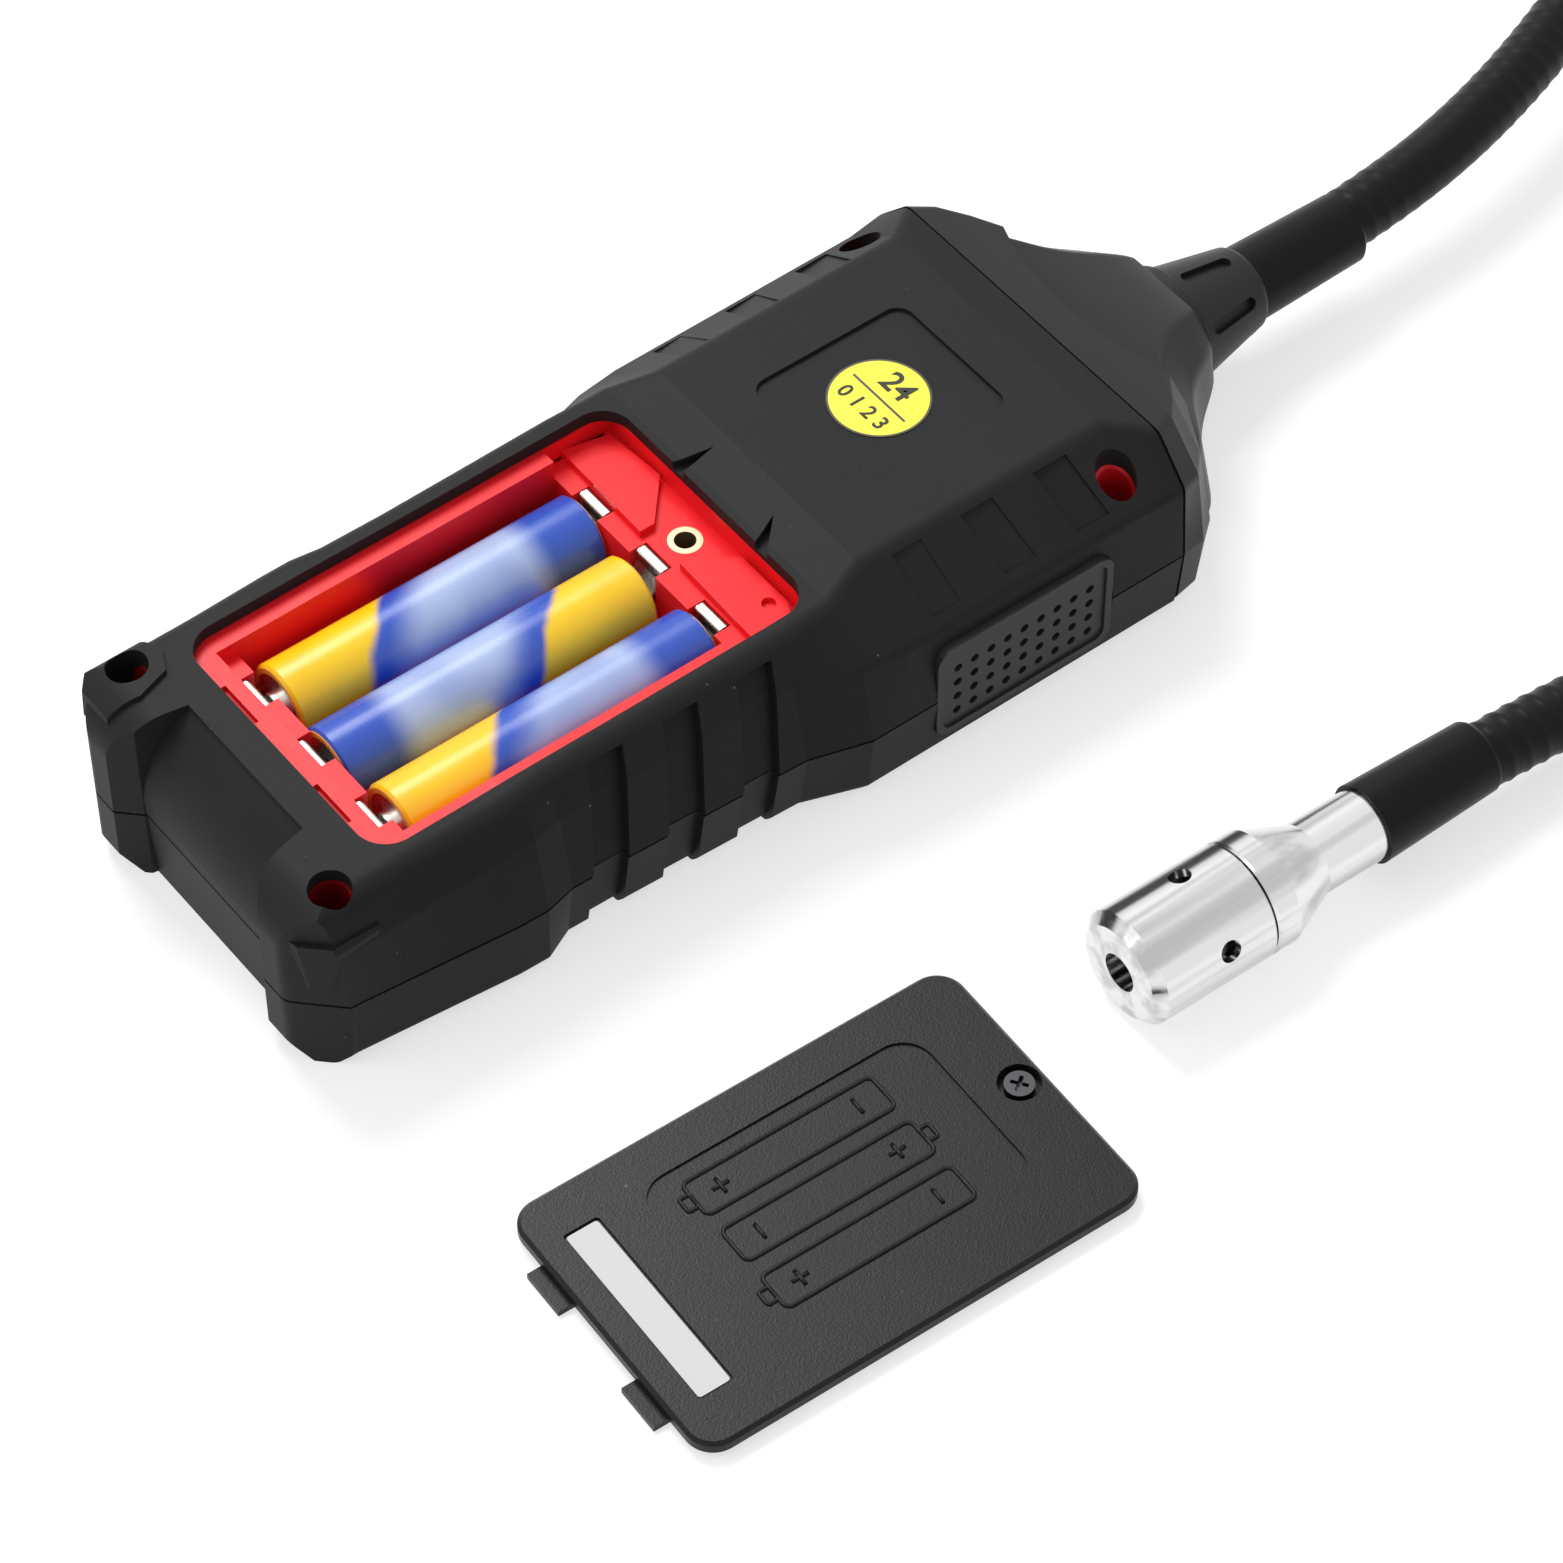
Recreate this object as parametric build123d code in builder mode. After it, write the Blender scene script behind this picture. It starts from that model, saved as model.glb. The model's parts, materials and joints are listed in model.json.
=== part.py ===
from build123d import *
import os
from math import cos, hypot, radians, sin, tan

os.makedirs("parts", exist_ok=True)

# Handheld gas leak detector, lying on its front face with the battery cover taken off beside it.
# X runs from the tail of the grip to the gooseneck, Y across the body, Z up from the table.
# The origin is the middle of the face it lies on. All lengths are in millimetres.

# Housing, measured along X
tail_x = -72.0          # end faces of the two tail bumpers
seam_x = 51.2           # joint between the two half shells and the neck cap
parting_z = 10.8        # height of the line where the front and rear halves meet
grip_back_z = 27.0
tail_back_z = 26.7
plateau_z = 28.4        # the back of the head stands a little higher than the grip
seam_back_z = 27.2
tail_radius = 6.5       # rounding of the tail's upper end, seen from the side
bumper_corner = 19.4    # the tail corners are cut at 45 degrees from this half width
edge_radius = 2.8       # long edges of the back
flank_radius = 2.0      # lower edges of its shoulders
foot_radius = 1.2       # lower edges of the front half
seam_inset = 0.45       # depth of the shadow gaps along the joints
seam_width = 0.3

# Walls and gaps
rubber_thickness = 1.8
shell_wall = 2.0
skin_gap = 0.05         # between the rubber skin and the hard shell inside it
fit_gap = 0.1           # between pieces that drop into one another
case_gap = 0.05         # at the parting line and at the neck cap
core_inset = rubber_thickness + skin_gap
cavity_inset = core_inset + shell_wall
front_wall = 2.0

# Battery bay
bay_tail_x = -58.4
bay_head_x = 3.0
bay_half_width = 19.8
bay_corner = 4.2
cell_radius = 5.15
cell_pitch = 11.3
cell_length = 43.6
nub_length = 0.9
nub_radius = 1.9
cell_axis_z = 18.4
outer_cells_x = (-51.0, -7.4)    # ends of the cans of the two outer cells
middle_cell_x = (-52.0, -8.4)
tray_tail_x = -52.4
tray_head_x = -7.0
tray_half_width = 17.3
slot_depth = 2.5        # the contact slots reach this far beyond the tray
slot_width = 5.0
slot_floor_z = 13.4
contact_width = 4.6
contact_strip = 0.4
contact_top_z = 22.5
rib_top_z = 22.9
shelf_z = 22.5
pad_z = 23.5

# Screws and their wells
well_radius = 2.55
tail_well = (-65.2, 20.2)
head_well = (44.6, 24.4)
screw_radius = 1.25
screw_head_radius = 2.1
screw_head_height = 1.6
screw_seat_z = 14.0
boss_radius = 4.2
front_boss_radius = 3.2
screw_foot_z = 4.0
insert_radius = 2.15
insert_bore_radius = 1.35
insert_length = 5.0
insert_x = -0.7

# Raised pads: corner points of the tail pads, and middle x, length and slant of the head's sunk pads
collar_rise = 0.6
collar_outline = ((-70.9, 16.2), (-66.4, 14.9), (-61.6, 16.4), (-60.0, 19.6), (-61.8, 24.6), (-70.9, 24.6))
head_pads = ((16.2, 4.3, 0.7), (26.6, 4.7, 1.5), (37.6, 4.9, 1.4))
head_pad_depth = 0.32
head_pad_tilt = 4.0
head_pad_reach = 4.3
recess_size = (23.0, 21.0)
recess_depth = 0.5
sticker_x = 28.3

# Tail pocket between the bumpers
pocket_half_width = 11.4
pocket_top_x = -62.7
pocket_waist = (-69.3, 13.0)
pocket_foot_x = -68.6

# Grip grooves on both sides
groove_count = 3
groove_pitch = 10.5
groove_width = 5.0
groove_depth = 1.2
groove_first_x = -31.7
groove_top_z = 25.7
groove_slant = 2.3      # the foot of a groove lies this far nearer the tail than its top

# Battery cover, lying beside the body
cover_centre = (-37.0, -73.9)
cover_yaw = -2.3
cover_length = 60.6
cover_width = 38.8
cover_height = 2.6
cover_plate = 1.6
cover_skirt = 1.3
cover_corner = 3.6
cover_screw_inset = 3.2
cover_screw_y = 0.8
cover_tab_width = 6.2
cover_tab_reach = 1.8
cover_tab_spacing = 18.4
cover_tab_thickness = 0.9
panel_recess = 0.3
text_panel = (38.4, 24.8, 2.2, 1.3)
label_size = (4.2, 25.8)
label_x = -cover_length / 2 + 5.9
label_thickness = 0.12

# Side grilles
grille_x = (13.6, 40.2)
grille_z = (3.6, 18.5)
grille_back_y = 28.2
grille_thickness = 1.7
grille_corner = 2.2
grille_rows = 4
grille_columns = 9
grille_step = 2.5
grille_hole_radius = 0.6
grille_hole_drop = 0.6   # the field of holes sits this far below the middle

# Face plate, screen, board and keys on the side it lies on
panel_x = (-29.0, 44.0)
panel_half_width = 18.0
panel_floor_z = 0.8
panel_thickness = 1.2
panel_flange = 1.5
screen_x = (12.0, 40.0)
screen_half_width = 13.0
board_x = (-30.0, 46.0)
board_half_width = 22.6
board_z = 6.6
board_thickness = 1.6
key_travel = 0.6
key_positions = ((-20.0, 0.0), (-4.0, 8.0), (-4.0, -8.0))
key_radius = 4.4
key_flange = 0.9
post_positions = ((-24.0, 21.4), (40.5, 21.4))

# Neck, gooseneck and probe
neck_axis_z = 10.8
gland_start_x = 72.8
gland_end_x = 86.3
gland_base_radius = 8.5
gland_tip_radius = 5.5
gland_slots = 6
gland_slot_length = 8.0
gland_slot_width = 1.7
gland_slot_depth = 0.9
gooseneck_radius = 4.1
bore_bottom_x = 71.5
neck_gap = 0.1
base_sleeve_end_x = 103.1
sleeve_radius = 5.1
sleeve_end_radius = 4.75
probe_front = (6.5, -71.8)
probe_heading = -1.06
probe_radius = 7.4
probe_neck_radius = 4.65
probe_ring_start = 17.6
probe_ring_end = 20.8
probe_taper_end = 27.4
probe_neck_end = 36.2
probe_bore_start = 29.5
tip_sleeve_end = 53.8
tip_sleeve_radius = 5.15
inlet_radius = 2.5
side_hole_radius = 1.4
side_hole_at = 10.6
side_hole_turn = -22.0


def rear_stations(w, t):
    """Half sections of the rear half: x, foot half width, shoulder foot, shoulder top."""
    rows = [
        (tail_x - 2, 24.8, (24.4, 19.5), (22.9, tail_back_z)),
        (-66.0, 24.8, (24.4, 19.5), (22.9, tail_back_z)),
        (-55.0, 25.9, (24.7, 20.3), (22.7, grip_back_z - 0.2)),
        (-44.8, 27.0, (25.0, 21.0), (22.9, grip_back_z - 0.1)),
        (-40.8, 27.1, (25.0, 21.3), (22.8, grip_back_z)),
        (-36.8, 26.2, (24.3, 21.3), (22.3, grip_back_z)),
        (-28.0, 26.5, (24.3, 21.3), (22.2, grip_back_z)),
        (-4.0, 27.6, (24.9, 21.4), (22.4, grip_back_z + 0.2)),
        (4.0, 30.0, (27.6, 21.0), (21.6, grip_back_z + 0.4)),
        (10.0, 30.0, (28.4, 21.0), (19.2, plateau_z)),
        (46.2, 30.0, (28.7, 21.2), (19.6, plateau_z)),
        (seam_x + 1.0, 30.0, (29.2, 21.6), (24.2, seam_back_z)),
    ]
    return [(x, f - w, (a[0] - w, a[1] - 0.55 * t), (b[0] - 0.8 * w, b[1] - t)) for x, f, a, b in rows]


def front_stations(w, b):
    """Half sections of the front half, listed like those of the rear half."""
    rows = [
        (tail_x - 2, 24.8, 24.6),
        (-66.0, 24.8, 24.6),
        (-44.8, 27.0, 26.8),
        (-40.8, 27.1, 26.9),
        (-36.8, 26.2, 25.0),
        (-28.0, 26.5, 25.2),
        (-4.0, 27.6, 26.3),
        (4.0, 30.0, 29.2),
        (seam_x + 1.0, 30.0, 29.1),
    ]
    return [(x, f - w, (g - w, 1.8 + 0.5 * b), (g - 1.4 - w, b)) for x, f, g in rows]


def half_body(stations, low_radius, high_radius):
    """Ruled loft through mirrored sections, with rounded edges where radii are given."""
    with BuildPart() as body:
        for x, foot, low, high in stations:
            with BuildSketch(Plane(origin=(x, 0, 0), x_dir=(0, 1, 0), z_dir=(1, 0, 0))) as section:
                with BuildLine():
                    Polyline((-foot, parting_z), (-low[0], low[1]), (-high[0], high[1]),
                             (high[0], high[1]), (low[0], low[1]), (foot, parting_z), close=True)
                make_face()
                if high_radius > 0:
                    corners = [v for v in section.vertices() if abs(v.Y - parting_z) > 1]
                    highs = [v for v in corners if abs(v.Y - high[1]) < 0.01]
                    fillet([v for v in corners if v not in highs], low_radius)
                    fillet([v for v in section.vertices() if abs(v.Y - high[1]) < 0.01
                            and abs(abs(v.X) - high[0]) < 0.01], high_radius)
        loft(ruled=True)
    return body.part


def tail_prism(inset):
    """Everything inside the tail's rounded side view and its cut corners."""
    radius = tail_radius - inset
    top = tail_back_z - inset
    with BuildPart() as prism:
        with BuildSketch(Plane.XZ):
            with BuildLine():
                Line((tail_x + inset, 3.0), (tail_x + inset, top - radius))
                JernArc((tail_x + inset, top - radius), (0, 1), radius, -90)
                Polyline((tail_x + tail_radius, top), (-58.0, top + 0.1), (-58.0, 40.0),
                         (seam_x, 40.0), (seam_x, -1.0), (tail_x + inset + 2.6, -1.0),
                         (tail_x + inset, 3.0))
            make_face()
        extrude(amount=40, both=True)
        corner = bumper_corner - 0.41 * inset
        far = corner + 25.0
        with BuildSketch(Plane.XY.offset(-2)) as plan:
            with BuildLine():
                Polyline((tail_x + inset, -corner), (tail_x + inset + 25.0, -far), (seam_x + 1, -far),
                         (seam_x + 1, far), (tail_x + inset + 25.0, far), (tail_x + inset, corner),
                         close=True)
            make_face()
            fillet([v for v in plan.vertices() if v.X < tail_x + inset + 1], 2.2)
        extrude(amount=44, mode=Mode.INTERSECT)
    return prism.part


def pocket_prism(inset):
    """The hollow between the two tail bumpers, grown by the inset for inner pieces."""
    side = pocket_half_width + inset
    waist = (pocket_waist[0] + inset, pocket_waist[1])
    with BuildPart() as pocket:
        with BuildSketch(Plane.XZ):
            with BuildLine():
                Line((-80.0, -2.0), (pocket_foot_x + inset, -2.0))
                Line((pocket_foot_x + inset, -2.0), waist)
                ThreePointArc(waist, (-67.7 + inset, 20.0), (pocket_top_x + inset, 26.0 - 0.3 * inset))
                Polyline((pocket_top_x + inset, 26.0 - 0.3 * inset), (pocket_top_x + inset, 40.0),
                         (-80.0, 40.0), (-80.0, -2.0))
            make_face()
        extrude(amount=40, both=True)
        with BuildSketch(Plane.XY.offset(-3)) as plan:
            with BuildLine():
                Polyline((-82.0, -side - 14.0), (-69.4, -side - 1.3), (-61.0 + inset, -side + 0.3),
                         (-61.0 + inset, side - 0.3), (-69.4, side + 1.3), (-82.0, side + 14.0), close=True)
            make_face()
            fillet([v for v in plan.vertices() if v.X > -65], 2.0)
        extrude(amount=44, mode=Mode.INTERSECT)
    return pocket.part


def groove_prisms(low_z, high_z, slant):
    """Slanted bars through the body where the grip grooves are."""
    with BuildPart() as bars:
        for n in range(groove_count):
            x = groove_first_x + n * groove_pitch
            with BuildSketch(Plane.XZ):
                with BuildLine():
                    Polyline((x, high_z), (x + groove_width, high_z), (x + groove_width - slant, low_z),
                             (x - slant, low_z), close=True)
                make_face()
            extrude(amount=40, both=True)
    return bars.part


# The two halves as solid bodies, one inside the other
tail = tail_prism(0)
pocket = pocket_prism(0)
inner_tail = tail_prism(core_inset)
inner_pocket = pocket_prism(core_inset)
rear_outer = half_body(rear_stations(0, 0), flank_radius, edge_radius) & tail
rear_core = half_body(rear_stations(core_inset, core_inset), 0.8, 0.8) & inner_tail
rear_cavity = half_body(rear_stations(cavity_inset, cavity_inset), 0, 0)
rear_grooved = half_body(rear_stations(groove_depth, groove_depth), flank_radius - groove_depth,
                         edge_radius - groove_depth)
rear_grooves = groove_prisms(parting_z - 1, groove_top_z, groove_slant) - rear_grooved
front_outer = half_body(front_stations(0, 0), foot_radius, foot_radius) & tail
front_cavity = half_body(front_stations(front_wall, front_wall), 0, 0)
front_grooved = half_body(front_stations(groove_depth, -0.5), foot_radius, foot_radius)
front_grooves = groove_prisms(-1.0, parting_z + 1, 0) - front_grooved
front_grooves = front_grooves.moved(Location((-groove_slant, 0, 0)))

# A slightly smaller front half leaves the shadow gap along the parting line
seam_core = half_body(front_stations(seam_inset, seam_inset), 0, 0) & tail_prism(seam_inset)
seam_core = seam_core - pocket_prism(seam_inset)

# Raised pads round the screw wells at the tail, a little proud of the rubber everywhere
collar_body = half_body(rear_stations(-0.25, -collar_rise), flank_radius, edge_radius)
collar_body = collar_body & tail_prism(-collar_rise)
with BuildPart() as collars:
    with BuildSketch(Plane.XY.offset(tail_back_z - 5.0)):
        for s in (1, -1):
            with BuildLine():
                Polyline(*[(x, s * y) for x, y in collar_outline], close=True)
            make_face()
    extrude(amount=8, taper=6)
    add(collar_body, mode=Mode.INTERSECT)

well_points = [(tail_well[0], tail_well[1]), (tail_well[0], -tail_well[1]),
               (head_well[0], head_well[1]), (head_well[0], -head_well[1])]
grille_mid = ((grille_x[0] + grille_x[1]) / 2, (grille_z[0] + grille_z[1]) / 2)
grille_span = (grille_x[1] - grille_x[0], grille_z[1] - grille_z[0])

# Middle of the head's slopes and the direction square to them, as (across, up)
slope_low = (28.55, 21.1)
slope_high = (19.4, plateau_z)
slope_length = hypot(slope_low[0] - slope_high[0], slope_high[1] - slope_low[1])
slope_mid = ((slope_low[0] + slope_high[0]) / 2 - 0.3, (slope_low[1] + slope_high[1]) / 2 + 0.24)
slope_out = ((slope_high[1] - slope_low[1]) / slope_length, (slope_low[0] - slope_high[0]) / slope_length)

# Rubber skin over the rear half
with BuildPart() as rear_rubber:
    add(rear_outer)
    add(collars.part)
    add(pocket, mode=Mode.SUBTRACT)
    with BuildPart(mode=Mode.SUBTRACT):
        add(half_body(rear_stations(rubber_thickness, rubber_thickness), 0.8, 0.8) & tail_prism(rubber_thickness))
        add(pocket_prism(rubber_thickness), mode=Mode.SUBTRACT)
    add(rear_grooves, mode=Mode.SUBTRACT)
    with BuildSketch(Plane.XY.offset(20)):
        with Locations(((bay_tail_x + bay_head_x) / 2, 0)):
            RectangleRounded(bay_head_x - bay_tail_x, 2 * bay_half_width, bay_corner)
    extrude(amount=12, mode=Mode.SUBTRACT)
    with BuildSketch(Plane.XY.offset(parting_z)):
        with Locations(*well_points):
            Circle(well_radius)
    extrude(amount=22, mode=Mode.SUBTRACT)
    with BuildSketch(Plane.XZ):
        with Locations(grille_mid):
            RectangleRounded(grille_span[0] + 2 * fit_gap, grille_span[1] + 2 * fit_gap, grille_corner + fit_gap)
    extrude(amount=40, both=True, mode=Mode.SUBTRACT)
    with BuildSketch(Plane.XY.offset(parting_z - 1)):
        Rectangle(200, 90)
    extrude(amount=1 + case_gap, mode=Mode.SUBTRACT)
    # Shallow field for the round sticker
    with BuildSketch(Plane.XY.offset(plateau_z - recess_depth)):
        with Locations((sticker_x, 0)):
            RectangleRounded(recess_size[0], recess_size[1], 2.2)
    extrude(amount=2, mode=Mode.SUBTRACT)
    # Sunk pads on the slopes of the head, deeper at their tail side
    tilt = radians(head_pad_tilt)
    for s in (1, -1):
        for x, length, slant in head_pads:
            pad_plane = Plane(origin=(x + slant / 2, s * (slope_mid[0] - head_pad_depth * slope_out[0]),
                                      slope_mid[1] - head_pad_depth * slope_out[1]),
                              x_dir=(cos(tilt), s * sin(tilt) * slope_out[0], sin(tilt) * slope_out[1]),
                              z_dir=(-sin(tilt), s * cos(tilt) * slope_out[0], cos(tilt) * slope_out[1]))
            with BuildSketch(pad_plane) as pad:
                with BuildLine():
                    Polyline((-length / 2 - slant / 2, -s * head_pad_reach), (length / 2 - slant / 2, -s * head_pad_reach),
                             (length / 2 + slant / 2, s * head_pad_reach), (slant / 2 - length / 2, s * head_pad_reach),
                             close=True)
                make_face()
            extrude(amount=1.5, mode=Mode.SUBTRACT)
    # Two notches at the head end of the bay
    with BuildSketch(Plane.XY.offset(grip_back_z - 0.7)):
        with BuildLine():
            Polyline((bay_head_x - 0.5, 7.4), (8.0, 5.7), (bay_head_x - 0.5, 5.2), close=True)
        make_face()
        with BuildLine():
            Polyline((bay_head_x - 0.5, -11.4), (7.0, -7.0), (bay_head_x - 0.5, -8.9), close=True)
        make_face()
    extrude(amount=3, mode=Mode.SUBTRACT)
rear_rubber.part.label = "rear_rubber"

# Hard shell under the rubber, with the battery tray
with BuildPart() as rear_shell:
    add(rear_core)
    add(inner_pocket, mode=Mode.SUBTRACT)
    with BuildPart(mode=Mode.SUBTRACT):
        add(rear_cavity)
        with BuildSketch(Plane.XY.offset(parting_z - 1)):
            with Locations((28.6, 0)):
                Rectangle(41.0, 60)
            with Locations((-24.0, 21.6), (-24.0, -21.6)):
                Rectangle(52.0, 4.6)
        extrude(amount=22, mode=Mode.INTERSECT)
        with BuildSketch(Plane.XY.offset(parting_z - 1)):
            with Locations(*well_points):
                Circle(boss_radius)
        extrude(amount=22, mode=Mode.SUBTRACT)
    # Tray with a round bed for each cell
    with BuildSketch(Plane.XY.offset(cell_axis_z)):
        with Locations(((tray_tail_x + tray_head_x) / 2, 0)):
            Rectangle(tray_head_x - tray_tail_x, 2 * tray_half_width)
    extrude(amount=12, mode=Mode.SUBTRACT)
    with BuildSketch(Plane(origin=(tray_tail_x, 0, cell_axis_z), x_dir=(0, 1, 0), z_dir=(1, 0, 0))):
        with Locations((-cell_pitch, 0), (0, 0), (cell_pitch, 0)):
            Circle(cell_radius + fit_gap)
    extrude(amount=tray_head_x - tray_tail_x, mode=Mode.SUBTRACT)
    # Slots for the contacts
    with BuildSketch(Plane.XY.offset(slot_floor_z)):
        for y in (-cell_pitch, 0, cell_pitch):
            with Locations(((tray_tail_x + tray_head_x) / 2, y)):
                Rectangle(tray_head_x - tray_tail_x + 2 * slot_depth, slot_width)
    extrude(amount=18, mode=Mode.SUBTRACT)
    # Lower ledge at the tail and the shelf with its two pads at the head
    with BuildSketch(Plane.XY.offset(rib_top_z)):
        with Locations((tray_tail_x - slot_depth / 2, 0)):
            Rectangle(slot_depth + 0.4, 2 * tray_half_width)
    extrude(amount=10, mode=Mode.SUBTRACT)
    with BuildSketch(Plane.XY.offset(shelf_z)):
        with Locations(((tray_head_x + bay_head_x) / 2, 0)):
            Rectangle(bay_head_x - tray_head_x, 2 * bay_half_width - 0.4)
    extrude(amount=10, mode=Mode.SUBTRACT)
    with BuildSketch(Plane.XY.offset(shelf_z - 0.2)):
        with BuildLine():
            Polyline((-4.3, 19.7), (1.9, 18.3), (2.7, 9.4), (-2.5, 3.6), (-4.6, 3.6), close=True)
        make_face()
        with BuildLine():
            Polyline((-3.9, -3.2), (2.4, -6.8), (2.4, -15.6), (0.4, -19.7), (-4.3, -19.7), close=True)
        make_face()
    extrude(amount=pad_z - shelf_z + 0.2)
    with BuildSketch(Plane.XY.offset(pad_z - 0.7)):
        with Locations((0.5, -14.5)):
            Circle(0.9)
    extrude(amount=2, mode=Mode.SUBTRACT)
    # Slots for the two tabs of the cover
    with BuildSketch(Plane.XY.offset(24.2)):
        with Locations((bay_tail_x - 0.4, cover_tab_spacing / 2), (bay_tail_x - 0.4, -cover_tab_spacing / 2)):
            Rectangle(3.6, cover_tab_width + 0.6)
    extrude(amount=4, mode=Mode.SUBTRACT)
    # Screw wells, seats and holes, and the hole of the threaded insert
    with BuildSketch(Plane.XY.offset(screw_seat_z)):
        with Locations(*well_points):
            Circle(screw_head_radius + fit_gap)
    extrude(amount=20, mode=Mode.SUBTRACT)
    with BuildSketch(Plane.XY.offset(parting_z - 1)):
        with Locations(*well_points):
            Circle(screw_radius + fit_gap)
    extrude(amount=10, mode=Mode.SUBTRACT)
    with BuildSketch(Plane.XY.offset(shelf_z - insert_length)):
        with Locations((insert_x, 0)):
            Circle(insert_radius)
    extrude(amount=10, mode=Mode.SUBTRACT)
    with BuildSketch(Plane.XY.offset(parting_z - 1)):
        Rectangle(200, 90)
    extrude(amount=1 + case_gap, mode=Mode.SUBTRACT)
rear_shell.part.label = "rear_shell"

# Front half
with BuildPart() as front_shell:
    add(front_outer)
    add(pocket, mode=Mode.SUBTRACT)
    add(front_grooves, mode=Mode.SUBTRACT)
    with BuildPart(mode=Mode.SUBTRACT):
        add(front_cavity)
        with BuildSketch(Plane.XY):
            with Locations((-8.6, 0)):
                Rectangle(115.6, 60)
        extrude(amount=20, mode=Mode.INTERSECT)
        with BuildSketch(Plane.XY):
            with Locations(*well_points):
                Circle(front_boss_radius)
            with Locations(*[(x, s * y) for x, y in post_positions for s in (1, -1)]):
                Circle(1.7)
        extrude(amount=20, mode=Mode.SUBTRACT)
    with BuildSketch(Plane.XY.offset(board_z - 0.05)):
        with Locations(*[(x, s * y) for x, y in post_positions for s in (1, -1)]):
            Circle(1.9)
    extrude(amount=20, mode=Mode.SUBTRACT)
    with BuildSketch(Plane.XY.offset(screw_foot_z)):
        with Locations(*well_points):
            Circle(screw_radius)
    extrude(amount=20, mode=Mode.SUBTRACT)
    with BuildSketch(Plane.XY.offset(-1)):
        with Locations(((panel_x[0] + panel_x[1]) / 2, 0)):
            RectangleRounded(panel_x[1] - panel_x[0] + 2 * fit_gap, 2 * (panel_half_width + fit_gap), 4 + fit_gap)
    extrude(amount=5, mode=Mode.SUBTRACT)
    with BuildSketch(Plane.XZ):
        with Locations(grille_mid):
            RectangleRounded(grille_span[0] + 2 * fit_gap, grille_span[1] + 2 * fit_gap, grille_corner + fit_gap)
    extrude(amount=40, both=True, mode=Mode.SUBTRACT)
    # Shadow gap along the parting line
    with BuildPart(mode=Mode.SUBTRACT):
        with BuildSketch(Plane.XY.offset(parting_z - seam_width)):
            Rectangle(200, 90)
        extrude(amount=seam_width + 0.2)
        add(seam_core, mode=Mode.SUBTRACT)
front_shell.part.label = "front_shell"

# Ventilation grilles let into both sides across the parting line
grilles = []
for side, name in ((1, "side_grille_left"), (-1, "side_grille_right")):
    face_y = side * (grille_back_y + grille_thickness)
    with BuildPart() as grille:
        with BuildSketch(Plane(origin=(0, face_y, 0), x_dir=(1, 0, 0), z_dir=(0, -1, 0))):
            with Locations(grille_mid):
                RectangleRounded(grille_span[0], grille_span[1], grille_corner)
        extrude(amount=side * grille_thickness)
        with BuildSketch(Plane(origin=(0, face_y, 0), x_dir=(1, 0, 0), z_dir=(0, -1, 0))):
            with Locations(grille_mid):
                RectangleRounded(grille_span[0] - 2.0, grille_span[1] - 2.0, grille_corner - 0.8)
        extrude(amount=side * 0.35, mode=Mode.SUBTRACT)
        with BuildSketch(Plane(origin=(0, face_y, 0), x_dir=(1, 0, 0), z_dir=(0, -1, 0))):
            with Locations((grille_mid[0], grille_mid[1] - grille_hole_drop)):
                with GridLocations(grille_step, grille_step, grille_columns, grille_rows):
                    Circle(grille_hole_radius)
        extrude(amount=side * 1.0, mode=Mode.SUBTRACT)
    grille.part.label = name
    grilles.append(grille)

# Face plate with the screen and the keys
with BuildPart() as face_panel:
    panel_mid = ((panel_x[0] + panel_x[1]) / 2, 0)
    panel_length = panel_x[1] - panel_x[0]
    screen_mid = ((screen_x[0] + screen_x[1]) / 2, 0)
    screen_length = screen_x[1] - screen_x[0]
    with BuildSketch(Plane.XY.offset(panel_floor_z)):
        with Locations(panel_mid):
            RectangleRounded(panel_length, 2 * panel_half_width, 4)
    extrude(amount=panel_thickness + 0.1)
    with BuildSketch(Plane.XY.offset(front_wall + 0.05)):
        with Locations(panel_mid):
            RectangleRounded(panel_length + 2 * panel_flange, 2 * (panel_half_width + panel_flange), 5)
    extrude(amount=1.2)
    with BuildSketch(Plane.XY.offset(front_wall - 0.2)):
        with Locations(panel_mid):
            RectangleRounded(panel_length, 2 * panel_half_width, 4)
    extrude(amount=0.4)
    with BuildSketch(Plane.XY):
        with Locations(screen_mid):
            RectangleRounded(screen_length + 2 * fit_gap, 2 * (screen_half_width + fit_gap), 1.5)
        with Locations(*key_positions):
            Circle(key_radius + fit_gap)
        with Locations((4.0, -3.0), (4.0, 0.0), (4.0, 3.0)):
            Circle(0.8)
    extrude(amount=5, mode=Mode.SUBTRACT)
face_panel.part.label = "face_panel"

flange_top_z = front_wall + 0.05 + 1.2
with BuildPart() as display_window:
    with BuildSketch(Plane.XY.offset(panel_floor_z + 0.2)):
        with Locations(screen_mid):
            RectangleRounded(screen_length, 2 * screen_half_width, 1.4)
    extrude(amount=flange_top_z - panel_floor_z - 0.1)
    with BuildSketch(Plane.XY.offset(flange_top_z + 0.05)):
        with Locations(screen_mid):
            Rectangle(screen_length + 2.0, 2 * screen_half_width + 2.0)
    extrude(amount=0.8)
display_window.part.label = "display_window"

with BuildPart() as display_module:
    with BuildSketch(Plane.XY.offset(flange_top_z + 0.9)):
        with Locations(screen_mid):
            Rectangle(screen_length + 1.0, 2 * screen_half_width + 4.0)
    extrude(amount=board_z - flange_top_z - 0.95)
display_module.part.label = "display_module"

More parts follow.
